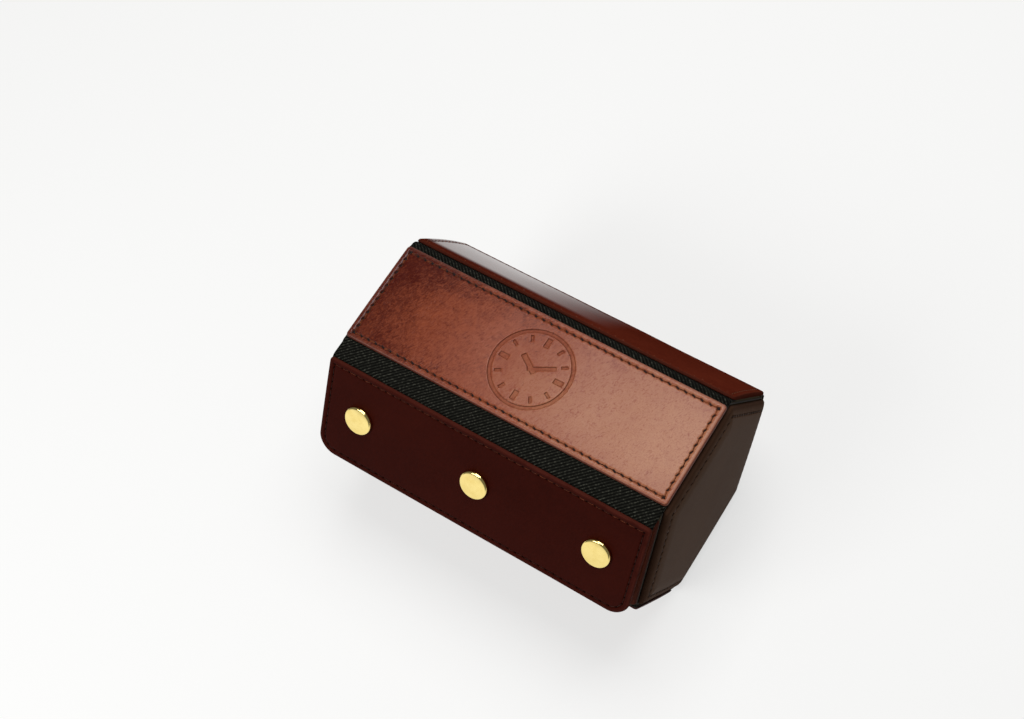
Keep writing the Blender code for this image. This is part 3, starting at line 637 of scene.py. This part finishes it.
def settle(piece, body, slot, finish, *nodes):
    """Give a finished piece its finish and its body, and hide the CAD nodes it stands for."""
    piece.data.materials.append(finish)
    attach(piece, body)
    if nodes:
        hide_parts(*nodes)


def cut_leather(name, low, high, radii, inset, lines, crown, stitch, stamp=None):
    """One leather face, modelled lying flat over the middle of the roll."""
    half = ((high.x - low.x) / 2, (high.y - low.y) / 2)
    bpy.ops.mesh.primitive_grid_add(x_subdivisions=round(2 * half[0] / COARSE_CELL),
                                    y_subdivisions=round(2 * half[1] / COARSE_CELL), size=1)
    bpy.context.object.scale = (2 * half[0], 2 * half[1], 1)
    leather = named(name)
    refine(leather, lambda spot: edge_gap(spot.x, spot.y, half, radii) < FINE_BAND, 2)
    if stamp:
        reach = STAMP_RING_RADIUS + 3 * STAMP_RING_HALF
        refine(leather, lambda spot: spot.length < reach, 4)
    sculpt_leather(leather, half, radii, inset, lines, crown, stitch, stamp)
    for vertex in leather.data.vertices:
        vertex.co.z += high.z
    close_back(leather, low.z)
    return leather


# Thread: waxed linen saddle stitches. Each seam is one strand that lies along its trench
# and dips into the slots, so it shows as short slanted stitches.
THREAD_DIP = 0.00062
THREAD_ARCH_SHARES = ((0.16, 0.25), (0.5, 0.7), (0.84, 0.25))
THREAD_DARK = (0.036, 0.008, 0.003, 1)
THREAD_PALE = (0.24, 0.060, 0.015, 1)
PLY_SCALE = 2200.0
PLY_STRETCH = (1.0, 2.0, 1.0)
PLY_LEAN = (0.5, 0.4, 0.6)
PLY_HEIGHT = 0.0002
THREAD_PATCH_SCALE = 260.0
RAY_HEIGHT = 1.0


def thread_paint(name, dark, pale):
    """Waxed thread: fine twisted plies with painted shade in their hollows, and patches of darker and
    paler tone.
    """
    finish, place = new_finish(name, Roughness=0.55, Specular_IOR_Level=0.10)
    plies = place.stretched(PLY_STRETCH, PLY_LEAN).cloud(PLY_SCALE, 2.0, 0.6)
    patches = place.cloud(THREAD_PATCH_SCALE, 2.0, 0.6)
    tone = (plies * 0.4 + patches * 0.6).band(0.38, 0.68).tint(dark, pale)
    return feed(finish, Base_Color=tone, Normal=plies.relief(PLY_HEIGHT, 0.7))


hide_thread = thread_paint("hide_thread", THREAD_DARK, THREAD_PALE)


def new_strands(name, radius, roundness):
    """Empty bundle of round strands."""
    strands = bpy.data.curves.new(name, "CURVE")
    strands.dimensions = "3D"
    strands.bevel_depth = radius
    strands.bevel_resolution = roundness
    return strands


def as_mesh(strands):
    """The strands as one smooth mesh piece of the same name."""
    piece = bpy.data.objects.new(strands.name, strands)
    bpy.context.scene.collection.objects.link(piece)
    bpy.ops.object.select_all(action="DESELECT")
    piece.select_set(True)
    bpy.context.view_layer.objects.active = piece
    bpy.ops.object.convert(target="MESH")
    bpy.ops.object.shade_smooth()
    return bpy.context.object


def surface_level(leather, spot):
    """Height of a flat leather face at a spot, found by a ray from far above it."""
    return leather.ray_cast((spot.x, spot.y, RAY_HEIGHT), (0, 0, -1))[1].z


def sew(name, leather, lines, stitch):
    """Strands laid on a leather face along its seam lines."""
    bpy.context.view_layer.update()
    strands = new_strands(name, stitch.thread, 1)
    strands.use_fill_caps = True
    for line in lines:
        points = []
        slots = slots_of(line, stitch)
        for (here, lean), (ahead, lean_ahead) in zip(slots, slots[1:]):
            start = here + lean * stitch.half * stitch.reach
            end = ahead - lean_ahead * stitch.half * stitch.reach
            tops = [start.lerp(end, share) for share, rise in THREAD_ARCH_SHARES]
            levels = [surface_level(leather, top) for top in tops]
            sunk = min(levels) - THREAD_DIP
            points.append(start.to_3d() + Vector((0, 0, sunk)))
            for top, level, (share, rise) in zip(tops, levels, THREAD_ARCH_SHARES):
                points.append(top.to_3d() + Vector((0, 0, level + rise * stitch.thread)))
            points.append(end.to_3d() + Vector((0, 0, sunk)))
        strand = strands.splines.new("POLY")
        strand.points.add(len(points) - 1)
        for knot, point in zip(strand.points, points):
            knot.co = (*point, 1)
    return as_mesh(strands)


PANEL_FINISHES = {"lid_top": hide_finish, "lid_rear": rear_finish, "snap_panel": snap_side_finish}
for prefix, degrees, body, crown in WRAP_PANELS:
    low, high = face_box(prefix + "_facing", degrees)
    half = ((high.x - low.x) / 2, (high.y - low.y) / 2)
    stamp = stamped if prefix == "lid_top" else None
    seams = panel_seams(half, SEAM_INSET)
    leather = cut_leather(prefix + "_leather", low, high, (PANEL_CORNER, PANEL_CORNER), SEAM_INSET,
                          seams, crown, HIDE_STITCH, stamp)
    thread = sew(prefix + "_thread", leather, seams, HIDE_STITCH)
    put_on_face(degrees, low, high, leather, thread)
    settle(leather, body, "panel_leather", PANEL_FINISHES.get(prefix, side_finish), prefix + "_facing")
    settle(thread, body, "panel_leather", hide_thread)


# Twill strips: six bands of black cotton twill, tucked under the leather edges at every
# corner of the wrap. Three of them are its hinges, and these are given no body.
TWILL_CELL = 0.0009
TWILL_LONG_CELL = 0.0030
TWILL_BEND_RADIUS = 0.0036
TWILL_BEND_STEPS = 8
TWILL_THICKNESS = 0.0005
TWILL_PUCKER = 0.00022
TWILL_PUCKER_LENGTH = 0.012
TWILL_PUCKER_ROWS = 9
TWILL_RIB_PITCH = 0.0020
TWILL_YARN_SCALE = 1500.0
TWILL_YARN_STRETCH = (2.0, 1.0, 1.0)
TWILL_YARN_LEAN = (0, 0, -0.785)
TWILL_FLECK_SCALE = 1000.0
TWILL_FLECK_STRETCH = (1.6, 1.0, 1.0)
TWILL_FLECK_LEAN = (0, 0, 0.5)
TWILL_LINT_SCALE = 90.0
TWILL_HEIGHT = 0.0004
TWILL_DARK = (0.0022, 0.0022, 0.0017, 1)
TWILL_PALE = (0.050, 0.050, 0.039, 1)

# Each strip: the turns of its lower and upper face, the lean of its weave, its bodies, and
# the stretch of its width that bends.
TWILL_STRIPS = (
    ("corner_strip_front", 60, 120, 1, "case", None, None),
    ("corner_strip_base_front", 120, 180, -1, "case", None, None),
    ("corner_strip_base_rear", 180, 240, 1, "case", None, None),
    ("hinge_strip_rear", 240, 300, -1, "case", "lid_rear", (0.3, 0.7)),
    ("hinge_strip_top", 300, 360, -1, "lid_rear", "lid_top", (0.3, 0.7)),
    ("hinge_strip_flap", 0, 57, 1, "lid_top", "flap", (0.5, 0.75)),
)

twill_finish, place = new_finish("twill_finish", Roughness=0.85, Specular_IOR_Level=0.04)
weave_place = place.node("ShaderNodeUVMap", output="UV")
ribs = weave_place.node("ShaderNodeTexWave", {"wave_type": "BANDS", "bands_direction": "DIAGONAL"},
                        {"Vector": weave_place, "Scale": 0.2 * math.pi / TWILL_RIB_PITCH,
                         "Distortion": 0.5, "Detail": 2.0, "Detail Scale": 1.5}, "Fac")
yarns = weave_place.stretched(TWILL_YARN_STRETCH, TWILL_YARN_LEAN).cloud(TWILL_YARN_SCALE, 2.0, 0.6)
flecks = weave_place.stretched(TWILL_FLECK_STRETCH, TWILL_FLECK_LEAN)
flecks = flecks.cloud(TWILL_FLECK_SCALE, 2.0, 0.6).band(0.50, 0.64)
lint = place.cloud(TWILL_LINT_SCALE, 3.0, 0.6)
weave = (ribs.band(0.35, 0.95) * 0.8 + 0.06) * (yarns * 0.35 + flecks + 0.08)
tone = (weave * (lint * 0.6 + 0.65)).tint(TWILL_DARK, TWILL_PALE)
height = ribs * 0.8 + yarns * 0.3 + flecks * 0.25
feed(twill_finish, Base_Color=tone, Normal=height.relief(TWILL_HEIGHT, 0.9))


def section_line(degrees, along, out):
    """Point of the roll's cross section: so far up a face and so far out from the axis."""
    angle = math.radians(degrees)
    return Vector((along * math.cos(angle) - out * math.sin(angle),
                   along * math.sin(angle) + out * math.cos(angle)))


def twill_path(first, second, first_turn, second_turn):
    """Middle line of a strip round its corner, from the lower to the higher of its tucks."""
    first_out = first[1].z - TWILL_THICKNESS / 2
    second_out = second[1].z - TWILL_THICKNESS / 2
    start = section_line(first_turn, first[1].y, first_out)
    finish = section_line(second_turn, second[0].y, second_out)
    heading = section_line(first_turn, 1, 0)
    other = section_line(second_turn, 1, 0)
    crossing = heading.cross(other)
    reach = (finish - start).cross(other) / crossing
    corner = start + heading * reach
    bend = math.radians(abs(second_turn - first_turn))
    setback = TWILL_BEND_RADIUS * math.tan(bend / 2)
    into = (corner - start).normalized()
    middle = corner - into * setback + section_line(first_turn, 0, -TWILL_BEND_RADIUS)
    path = [start]
    for step in range(TWILL_BEND_STEPS + 1):
        turn = first_turn + (second_turn - first_turn) * step / TWILL_BEND_STEPS
        path.append(middle + section_line(turn, 0, TWILL_BEND_RADIUS))
    return path + [finish]


for name, first_turn, second_turn, lean, body, other_body, bend_shares in TWILL_STRIPS:
    first = face_box(name, first_turn)
    second = face_box(name, second_turn)
    path = even_steps(twill_path(first, second, first_turn, second_turn), TWILL_CELL)
    rows = len(path) - 1
    strip_length = first[1].x - first[0].x
    strip_width = TWILL_CELL * rows
    columns = round(strip_length / TWILL_LONG_CELL)
    bpy.ops.mesh.primitive_grid_add(x_subdivisions=columns, y_subdivisions=rows, size=1)
    strip = named(name + "_twill")
    for vertex in strip.data.vertices:
        row = round((vertex.co.y + 0.5) * rows)
        x = first[0].x + (vertex.co.x + 0.5) * strip_length
        free = math.sin(math.pi * row / rows) ** 2
        spot = (x / TWILL_PUCKER_LENGTH, first_turn, row / TWILL_PUCKER_ROWS)
        out = path[row].normalized() * (TWILL_PUCKER * free * noise.noise(spot))
        vertex.co = (x, path[row].x + out.x, ROLL_AXIS.z + path[row].y + out.y)
    for loop in strip.data.loops:
        row, column = divmod(loop.vertex_index, columns + 1)
        strip.data.uv_layers.active.data[loop.index].uv = (strip_length * column / columns,
                                                           lean * strip_width * row / rows)
    bpy.ops.object.modifier_add(type="SOLIDIFY")
    strip.modifiers["Solidify"].thickness = TWILL_THICKNESS
    strip.modifiers["Solidify"].offset = 0
    bpy.ops.object.modifier_apply(modifier="Solidify")
    face_outwards()
    bpy.ops.object.shade_smooth()
    strip.data.materials.append(twill_finish)
    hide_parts(name)
    if other_body:
        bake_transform(strip)
    else:
        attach(strip, body)


# End caps: a six sided leather pad on each end of the roll, stuffed so that it swells
# inside its seam, which runs round it a little way in from the edge.
CAP_ROWS = 57
CAP_SEAM_ROWS = 5
CAP_FINE_ROWS = 7
CAP_STITCHES = 13
CAP_SWELL = 0.0020
CAP_SWELL_START_SHARE = 0.2
CAP_SWELL_REACH_SHARE = 2.2
CAP_CROWN = 0.0005
CAP_CORNER = 0.0020
CAP_ANGLES = [math.radians(60 * side) for side in range(6)]
COS_30 = math.cos(math.radians(30))
COS_60 = math.cos(math.radians(60))
SIN_60 = math.sin(math.radians(60))
# End cap tones: dark leather greyed with a painted sheen.
CAP_DYES_AND_SHEEN = ((0.062, 0.034, 0.021, 1), (0.084, 0.048, 0.031, 1), (0.105, 0.066, 0.045, 1))
# Darker border of the end caps: painted shade at the rim.
CAP_BORDER_SHADE = (0.040, 0.018, 0.011, 1)
CAP_NEAR_EDGE_REACH = 0.0034
# Painted shade on the caps' rolled-off outer edge.
CAP_EDGE_SHADE = (0.040, 0.019, 0.011, 1)
CAP_STITCH = HIDE_STITCH._replace(depth=0.0006)
CAP_THREAD_DARK = (0.020, 0.010, 0.007, 1)
CAP_THREAD_PALE = (0.10, 0.055, 0.038, 1)

cap_finish = hide("cap_finish", CAP_DYES_AND_SHEEN, CAP_BORDER_SHADE, CAP_EDGE_SHADE, roughness=0.52, specular=0.008)
cap_thread = thread_paint("cap_thread", CAP_THREAD_DARK, CAP_THREAD_PALE)


def cap_gap(x, y, apothem):
    """How far a point lies inside the rounded hexagon of an end cap, flat sides across X."""
    reaches = sorted((x * math.cos(angle) + y * math.sin(angle) for angle in CAP_ANGLES), reverse=True)
    inner = apothem - CAP_CORNER
    over, next_over = reaches[0] - inner, reaches[1] - inner
    if next_over > 0:
        along = (over * COS_60 - next_over) / SIN_60
        if over * COS_60 < next_over:
            return CAP_CORNER - math.hypot(over, along)
    return CAP_CORNER - over


def cap_seams(apothem, inset):
    """The six seam lines of an end cap."""
    reach = (apothem - inset) / COS_30
    corners = [Vector((reach * math.cos(angle), reach * math.sin(angle)))
               for angle in (math.radians(30 + 60 * side) for side in range(6))]
    return [even_steps([here, ahead], (ahead - here).length / CAP_STITCHES)
            for here, ahead in zip(corners, corners[1:] + corners[:1])]


for side, sign in (("left", -1), ("right", 1)):
    node = "end_cap_" + side + "_leather"
    low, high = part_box(node)
    apothem = (high.z - low.z) / 2
    inset = apothem * CAP_SEAM_ROWS / CAP_ROWS
    seams = cap_seams(apothem, inset)
    bpy.ops.mesh.primitive_circle_add(vertices=6, radius=apothem / COS_30, fill_type="TRIFAN")
    cap = named("end_cap_" + side + "_pad")
    refine(cap, lambda spot: True, CAP_ROWS - 1)
    fine_band = CAP_FINE_ROWS * apothem / CAP_ROWS
    refine(cap, lambda spot: cap_gap(spot.x, spot.y, apothem) < fine_band, 2)
    tree = slot_finder(seams, CAP_STITCH)
    shade = []
    near_edge = []
    for vertex in cap.data.vertices:
        x, y = vertex.co.x, vertex.co.y
        gap = cap_gap(x, y, apothem)
        if gap < 0:
            pull = 1 + gap / math.hypot(x, y)
            x, y = x * pull, y * pull
        height, sunk = sewn_relief(x, y, max(gap, 0.0), inset, tree, CAP_STITCH)
        swell = (gap / inset - CAP_SWELL_START_SHARE) / CAP_SWELL_REACH_SHARE
        height += CAP_SWELL * math.sin(min(1.0, max(0.0, swell)) * math.pi / 2)
        height += CAP_CROWN * (1 - (x * x + y * y) / apothem ** 2)
        vertex.co = (x, y, height)
        shade.append(sunk)
        near_edge.append(math.exp(-(max(gap, 0.0) / CAP_NEAR_EDGE_REACH) ** 2))
    lay_flat(cap)
    store(cap, "sunk", shade)
    store(cap, "near_edge", near_edge)
    close_back(cap, low.x - high.x)
    thread = sew("end_cap_" + side + "_thread", cap, seams, CAP_STITCH)
    outward = Matrix.Translation((sign * max(abs(low.x), abs(high.x)), 0, ROLL_AXIS.z))
    outward @= Matrix.Rotation(sign * math.radians(90), 4, "Y")
    cap.data.transform(outward)
    thread.data.transform(outward)
    settle(cap, "case", "end_leather", cap_finish, node)
    settle(thread, "case", "end_leather", cap_thread)


# Dividers: two six sided walls between the compartments, thin board wrapped in suede
# with soft rounded edges.
DIVIDER_BEVEL = 0.0009

for side in ("left", "right"):
    node = "divider_" + side
    low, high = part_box(node)
    apothem = (high.z - low.z) / 2
    bpy.ops.mesh.primitive_cylinder_add(vertices=6, radius=apothem / COS_30, depth=high.x - low.x,
                                        end_fill_type="TRIFAN", rotation=(0, math.radians(90), 0),
                                        location=(low + high) / 2)
    wall = named(node + "_wall")
    bpy.ops.object.modifier_add(type="BEVEL")
    wall.modifiers["Bevel"].width = DIVIDER_BEVEL
    wall.modifiers["Bevel"].segments = 4
    bpy.ops.object.modifier_apply(modifier="Bevel")
    bpy.ops.object.shade_smooth()
    settle(wall, "case", "lining_suede", lining_finish, node)


# Cushions: three foam pads in taupe suede, each a sleeve round the foam, closed by two ends
# with a covered cord sewn into both end seams. The stuffing swells the cloth between them.
CUSHION_DARK = (0.085, 0.068, 0.053, 1)
CUSHION_PALE = (0.20, 0.168, 0.135, 1)
CUSHION_SHEEN = 0.35
CUSHION_CUTS = 26
CUSHION_SQUARENESS = 2.3
CUSHION_TAPER_SHARE = 0.075
CUSHION_TAPER_POWER = 6
CUBE_EDGE = 0.999
CUSHION_END_CROWN = 0.0022
CUSHION_FLAT = 0.0015
CUSHION_PUCKER = 0.00035
GATHER_REACH_SHARE = 0.16
GATHER_LENGTH = 0.03
GATHERS_ROUND = 9.0
SWELL_ROOM = 0.0009
SWELL_SCALE = 12.0
SWELL_PRESSURE = 4.0
SWELL_STEPS = 20
CORD_RADIUS = 0.00095
CORD_POINTS = 96

cushion_finish = suede("cushion_finish", CUSHION_DARK, CUSHION_PALE, CUSHION_SHEEN)


def cushion_nodes(side):
    """The CAD nodes of one cushion."""
    return ["cushion_" + side + "_" + part for part in ("core", "sleeve", "left_end", "right_end")]


def joined_box(nodes):
    """Lowest and highest corner of several CAD nodes together."""
    corners = [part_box(node) for node in nodes]
    low = Vector([min(corner[0][axis] for corner in corners) for axis in range(3)])
    high = Vector([max(corner[1][axis] for corner in corners) for axis in range(3)])
    return low, high


def cushion_point(x, y, z, half):
    """Point of a cushion for a point of a cube: an oval section, fullest halfway along."""
    reach = max(abs(y), abs(z), 1 - CUBE_EDGE)
    oval = abs(y / reach) ** CUSHION_SQUARENESS + abs(z / reach) ** CUSHION_SQUARENESS
    full = (1 - CUSHION_TAPER_SHARE * x ** CUSHION_TAPER_POWER) * oval ** (-1 / CUSHION_SQUARENESS)
    crown = math.copysign(CUSHION_END_CROWN * (1 - reach ** 2), x) if abs(x) > CUBE_EDGE else 0.0
    return Vector((x * (half.x - CUSHION_END_CROWN) + crown, y * full * half.y,
                   max(z * full * half.z, CUSHION_FLAT - SWELL_ROOM - half.z)))


def stuffed(pad, floor_level):
    """Swell a cushion cover with the pressure of its stuffing, its end seams held."""
    start = [vertex.co.copy() for vertex in pad.data.vertices]
    pad.data.transform(Matrix.Scale(SWELL_SCALE, 4))
    bpy.ops.object.modifier_add(type="CLOTH")
    cloth = pad.modifiers["Cloth"]
    cloth.settings.use_pressure = True
    cloth.settings.uniform_pressure_force = SWELL_PRESSURE
    cloth.settings.effector_weights.gravity = 0
    cloth.settings.vertex_group_mass = "seam"
    for step in range(1, SWELL_STEPS + 1):
        bpy.context.scene.frame_set(step)
    bpy.ops.object.modifier_apply(modifier="Cloth")
    bpy.context.scene.frame_set(1)
    pad.data.transform(Matrix.Scale(1 / SWELL_SCALE, 4))
    for vertex, before in zip(pad.data.vertices, start):
        shift = vertex.co - before
        vertex.co = before + shift * min(1.0, SWELL_ROOM / max(shift.length, SWELL_ROOM / 10))
        vertex.co.z = max(vertex.co.z, floor_level)


low, high = joined_box(cushion_nodes("middle"))
half = (high - low) / 2 - Vector((SWELL_ROOM, SWELL_ROOM, SWELL_ROOM - CUSHION_FLAT / 2))
bpy.ops.mesh.primitive_cube_add(size=2)
pad = named("cushion_pad")
refine(pad, lambda spot: True, CUSHION_CUTS)
held = [vertex.index for vertex in pad.data.vertices
        if abs(vertex.co.x) > CUBE_EDGE and max(abs(vertex.co.y), abs(vertex.co.z)) > CUBE_EDGE]
pad.vertex_groups.new(name="seam").add(held, 1.0, "REPLACE")
for vertex in pad.data.vertices:
    around = math.atan2(vertex.co.z, vertex.co.y)
    near_seam = math.exp(-((1 - abs(vertex.co.x)) / GATHER_REACH_SHARE) ** 2)
    vertex.co = cushion_point(*vertex.co, half)
    gathers = noise.noise((vertex.co.x / GATHER_LENGTH, GATHERS_ROUND * math.cos(around),
                           GATHERS_ROUND * math.sin(around)))
    vertex.co.yz *= 1 + CUSHION_PUCKER / half.z * gathers * near_seam
stuffed(pad, CUSHION_FLAT - SWELL_ROOM - half.z)
bpy.ops.object.modifier_add(type="SUBSURF")
bpy.ops.object.modifier_apply(modifier="Subdivision")
bpy.ops.object.shade_smooth()

cords = new_strands("cushion_cords", CORD_RADIUS, 2)
for end in (-1, 1):
    ring = cords.splines.new("POLY")
    ring.points.add(CORD_POINTS - 1)
    ring.use_cyclic_u = True
    for step, knot in enumerate(ring.points):
        angle = math.tau * step / CORD_POINTS
        reach = max(abs(math.cos(angle)), abs(math.sin(angle)))
        spot = cushion_point(end, math.cos(angle) / reach, math.sin(angle) / reach, half)
        knot.co = (*spot, 1)
cord = as_mesh(cords)

for side in ("left", "middle", "right"):
    low, high = joined_box(cushion_nodes(side))
    for master, part in ((pad, "pad"), (cord, "cords")):
        piece = master.copy()
        piece.data = master.data.copy()
        piece.name = piece.data.name = "cushion_" + side + "_" + part
        bpy.context.scene.collection.objects.link(piece)
        piece.data.transform(Matrix.Translation((low + high) / 2 - Vector((0, 0, CUSHION_FLAT / 2))))
        stood_for = cushion_nodes(side) if master is pad else ()
        settle(piece, "case", "cushion_suede", cushion_finish, *stood_for)
for master in (pad, cord):
    bpy.data.objects.remove(master)


# Flap: the leather is turned over the edge of its board and backed with a second leather.
# Its seam runs along the top edge and round the other three sides.
FLAP_TOP_CORNER = 0.0022
FLAP_LOW_CORNER = 0.0100
FLAP_TURN = 57
FLAP_SEAM_INSET = 0.0031
# Flap tones: dark red dye, darkened further with painted shade.
FLAP_DYES_AND_SHADE = ((0.023, 0.0025, 0.0012, 1), (0.040, 0.0046, 0.0022, 1), (0.056, 0.0080, 0.0042, 1))
# Flap border: rub and a painted highlight on its rolled edges.
FLAP_RUB_AND_HIGHLIGHT = (0.080, 0.017, 0.011, 1)
# Painted shade on the flap's rolled-off outer edge.
FLAP_EDGE_SHADE = (0.050, 0.010, 0.006, 1)
FLAP_THREAD_DARK = (0.035, 0.008, 0.004, 1)
FLAP_THREAD_PALE = (0.15, 0.034, 0.012, 1)
FLAP_RIM_THREAD_DARK = (0.012, 0.003, 0.002, 1)
FLAP_RIM_THREAD_PALE = (0.050, 0.012, 0.006, 1)
FLAP_STITCH = Stitch(slant=math.radians(-10.0), half=0.00040, width=0.00027, depth=0.00040,
                     thread=0.00020, reach=0.6)

flap_finish = hide("flap_finish", FLAP_DYES_AND_SHADE, FLAP_RUB_AND_HIGHLIGHT, FLAP_EDGE_SHADE, roughness=0.45, specular=0.022)
flap_thread = thread_paint("flap_thread", FLAP_THREAD_DARK, FLAP_THREAD_PALE)
rim_thread = thread_paint("rim_thread", FLAP_RIM_THREAD_DARK, FLAP_RIM_THREAD_PALE)


def flap_seams(half, corner, inset):
    """Seam along the top edge, and the seam round the other three sides."""
    x, y = half[0] - inset, half[1] - inset
    radius = corner - inset
    below = [Vector((-x, y - SEAM_PITCH / 2))]
    below += arc(Vector((radius - x, radius - y)), radius, 180, 270)
    below += arc(Vector((x - radius, radius - y)), radius, 270, 360)
    below += [Vector((x, y - SEAM_PITCH / 2))]
    return [even_steps([Vector((x, y)), Vector((-x, y))], SEAM_PITCH), even_steps(below, SEAM_PITCH)]


low, high = face_box("flap_facing", FLAP_TURN)
flap_top = high.z
half = ((high.x - low.x) / 2, (high.y - low.y) / 2)
seams = flap_seams(half, FLAP_LOW_CORNER, FLAP_SEAM_INSET)
leather = cut_leather("flap_leather", low, high, (FLAP_TOP_CORNER, FLAP_LOW_CORNER), FLAP_SEAM_INSET,
                      seams, PANEL_CROWN / 2, FLAP_STITCH)
top_thread = sew("flap_top_thread", leather, seams[:1], FLAP_STITCH)
side_thread = sew("flap_rim_thread", leather, seams[1:], FLAP_STITCH)
put_on_face(FLAP_TURN, low, high, leather, top_thread, side_thread)
settle(leather, "flap", "flap_leather", flap_finish, "flap_facing")
settle(top_thread, "flap", "flap_leather", flap_thread)
settle(side_thread, "flap", "flap_leather", rim_thread)

# Flap backing: a second leather glued inside the flap, a little smaller than the front. The
# same stitches come through it.
low, high = face_box("flap_backing", FLAP_TURN + 180)
step_in = half[0] - (high.x - low.x) / 2
half = ((high.x - low.x) / 2, (high.y - low.y) / 2)
seams = [[Vector((spot.x, -spot.y)) for spot in line] for line in
         flap_seams(half, FLAP_LOW_CORNER - step_in, FLAP_SEAM_INSET - step_in)]
backing = cut_leather("flap_backing_leather", low, high, (FLAP_LOW_CORNER - step_in, FLAP_TOP_CORNER),
                      FLAP_SEAM_INSET - step_in, seams, 0.0, FLAP_STITCH)
back_thread = sew("flap_backing_thread", backing, seams, FLAP_STITCH)
put_on_face(FLAP_TURN + 180, low, high, backing, back_thread)
settle(backing, "flap", "flap_leather", flap_finish, "flap_backing")
settle(back_thread, "flap", "flap_leather", rim_thread)


# Snap fasteners: domed caps of polished pale gold on the flap, their sockets behind it,
# and studs with eyelets on the snap panel.
GOLD = (0.95, 0.76, 0.29, 1)
GOLD_DULL = (0.86, 0.66, 0.22, 1)
SMEAR_SCALE = 240.0
SNAP_SIDES = 64
SNAP_SINK = 0.0002
DOME_WIDTH_SHARE = 0.90
DOME_DROP_SHARE = 0.07
DOME_RING_SHARES = (0.0, 0.12, 0.25, 0.4, 0.55, 0.7, 0.82, 0.92, 1.0)
RIM_MIDDLE_SHARE = 0.50
RIM_HALF_SHARE = 0.43
RIM_DEGREES = (12, 28, 45, 62, 78, 90, 105, 125)

gold_finish, place = new_finish("gold_finish", Metallic=1.0)
smear = place.cloud(SMEAR_SCALE, 3.0, 0.6)
feed(gold_finish, Base_Color=smear.band(0.3, 0.8).tint(GOLD, GOLD_DULL),
     Roughness=smear * 0.08 + 0.045)


def lathed(name, profile, sides):
    """Closed turned body about Z. Its profile of (radius, height) runs from the top down."""
    bpy.ops.mesh.primitive_uv_sphere_add(segments=sides, ring_count=len(profile) - 1)
    body = named(name)
    for vertex in body.data.vertices:
        level = round(math.acos(max(-1.0, min(1.0, vertex.co.z))) * (len(profile) - 1) / math.pi)
        radius, height = profile[level]
        around = math.atan2(vertex.co.y, vertex.co.x)
        vertex.co = (radius * math.cos(around), radius * math.sin(around), height)
    bpy.ops.object.shade_smooth()
    return body


def cap_profile(radius, low, high):
    """Low dome, a crisp step and a rolled rim that is closed underneath."""
    rise = high - low
    shoulder = radius * DOME_WIDTH_SHARE
    dome = [(shoulder * share, high - DOME_DROP_SHARE * rise * share ** 2)
            for share in DOME_RING_SHARES]
    middle = high - RIM_MIDDLE_SHARE * rise
    rim = [(shoulder + (radius - shoulder) * math.sin(angle),
            middle + RIM_HALF_SHARE * rise * math.cos(angle))
           for angle in map(math.radians, RIM_DEGREES)]
    return dome + rim + [(shoulder, low), (0.0, low)]


for side in ("left", "middle", "right"):
    node = "snap_cap_" + side
    low, high = face_box(node, FLAP_TURN)
    radius = (high.x - low.x) / 2
    profile = cap_profile(radius, flap_top - SNAP_SINK, high.z)
    cap = lathed("snap_" + side + "_dome", profile, SNAP_SIDES)
    put_on_face(FLAP_TURN, low, high, cap)
    settle(cap, "flap", "snap_metal", gold_finish, node)
    for part in ("socket", "stud", "eyelet"):
        repaint("snap_" + part + "_" + side, gold_finish)
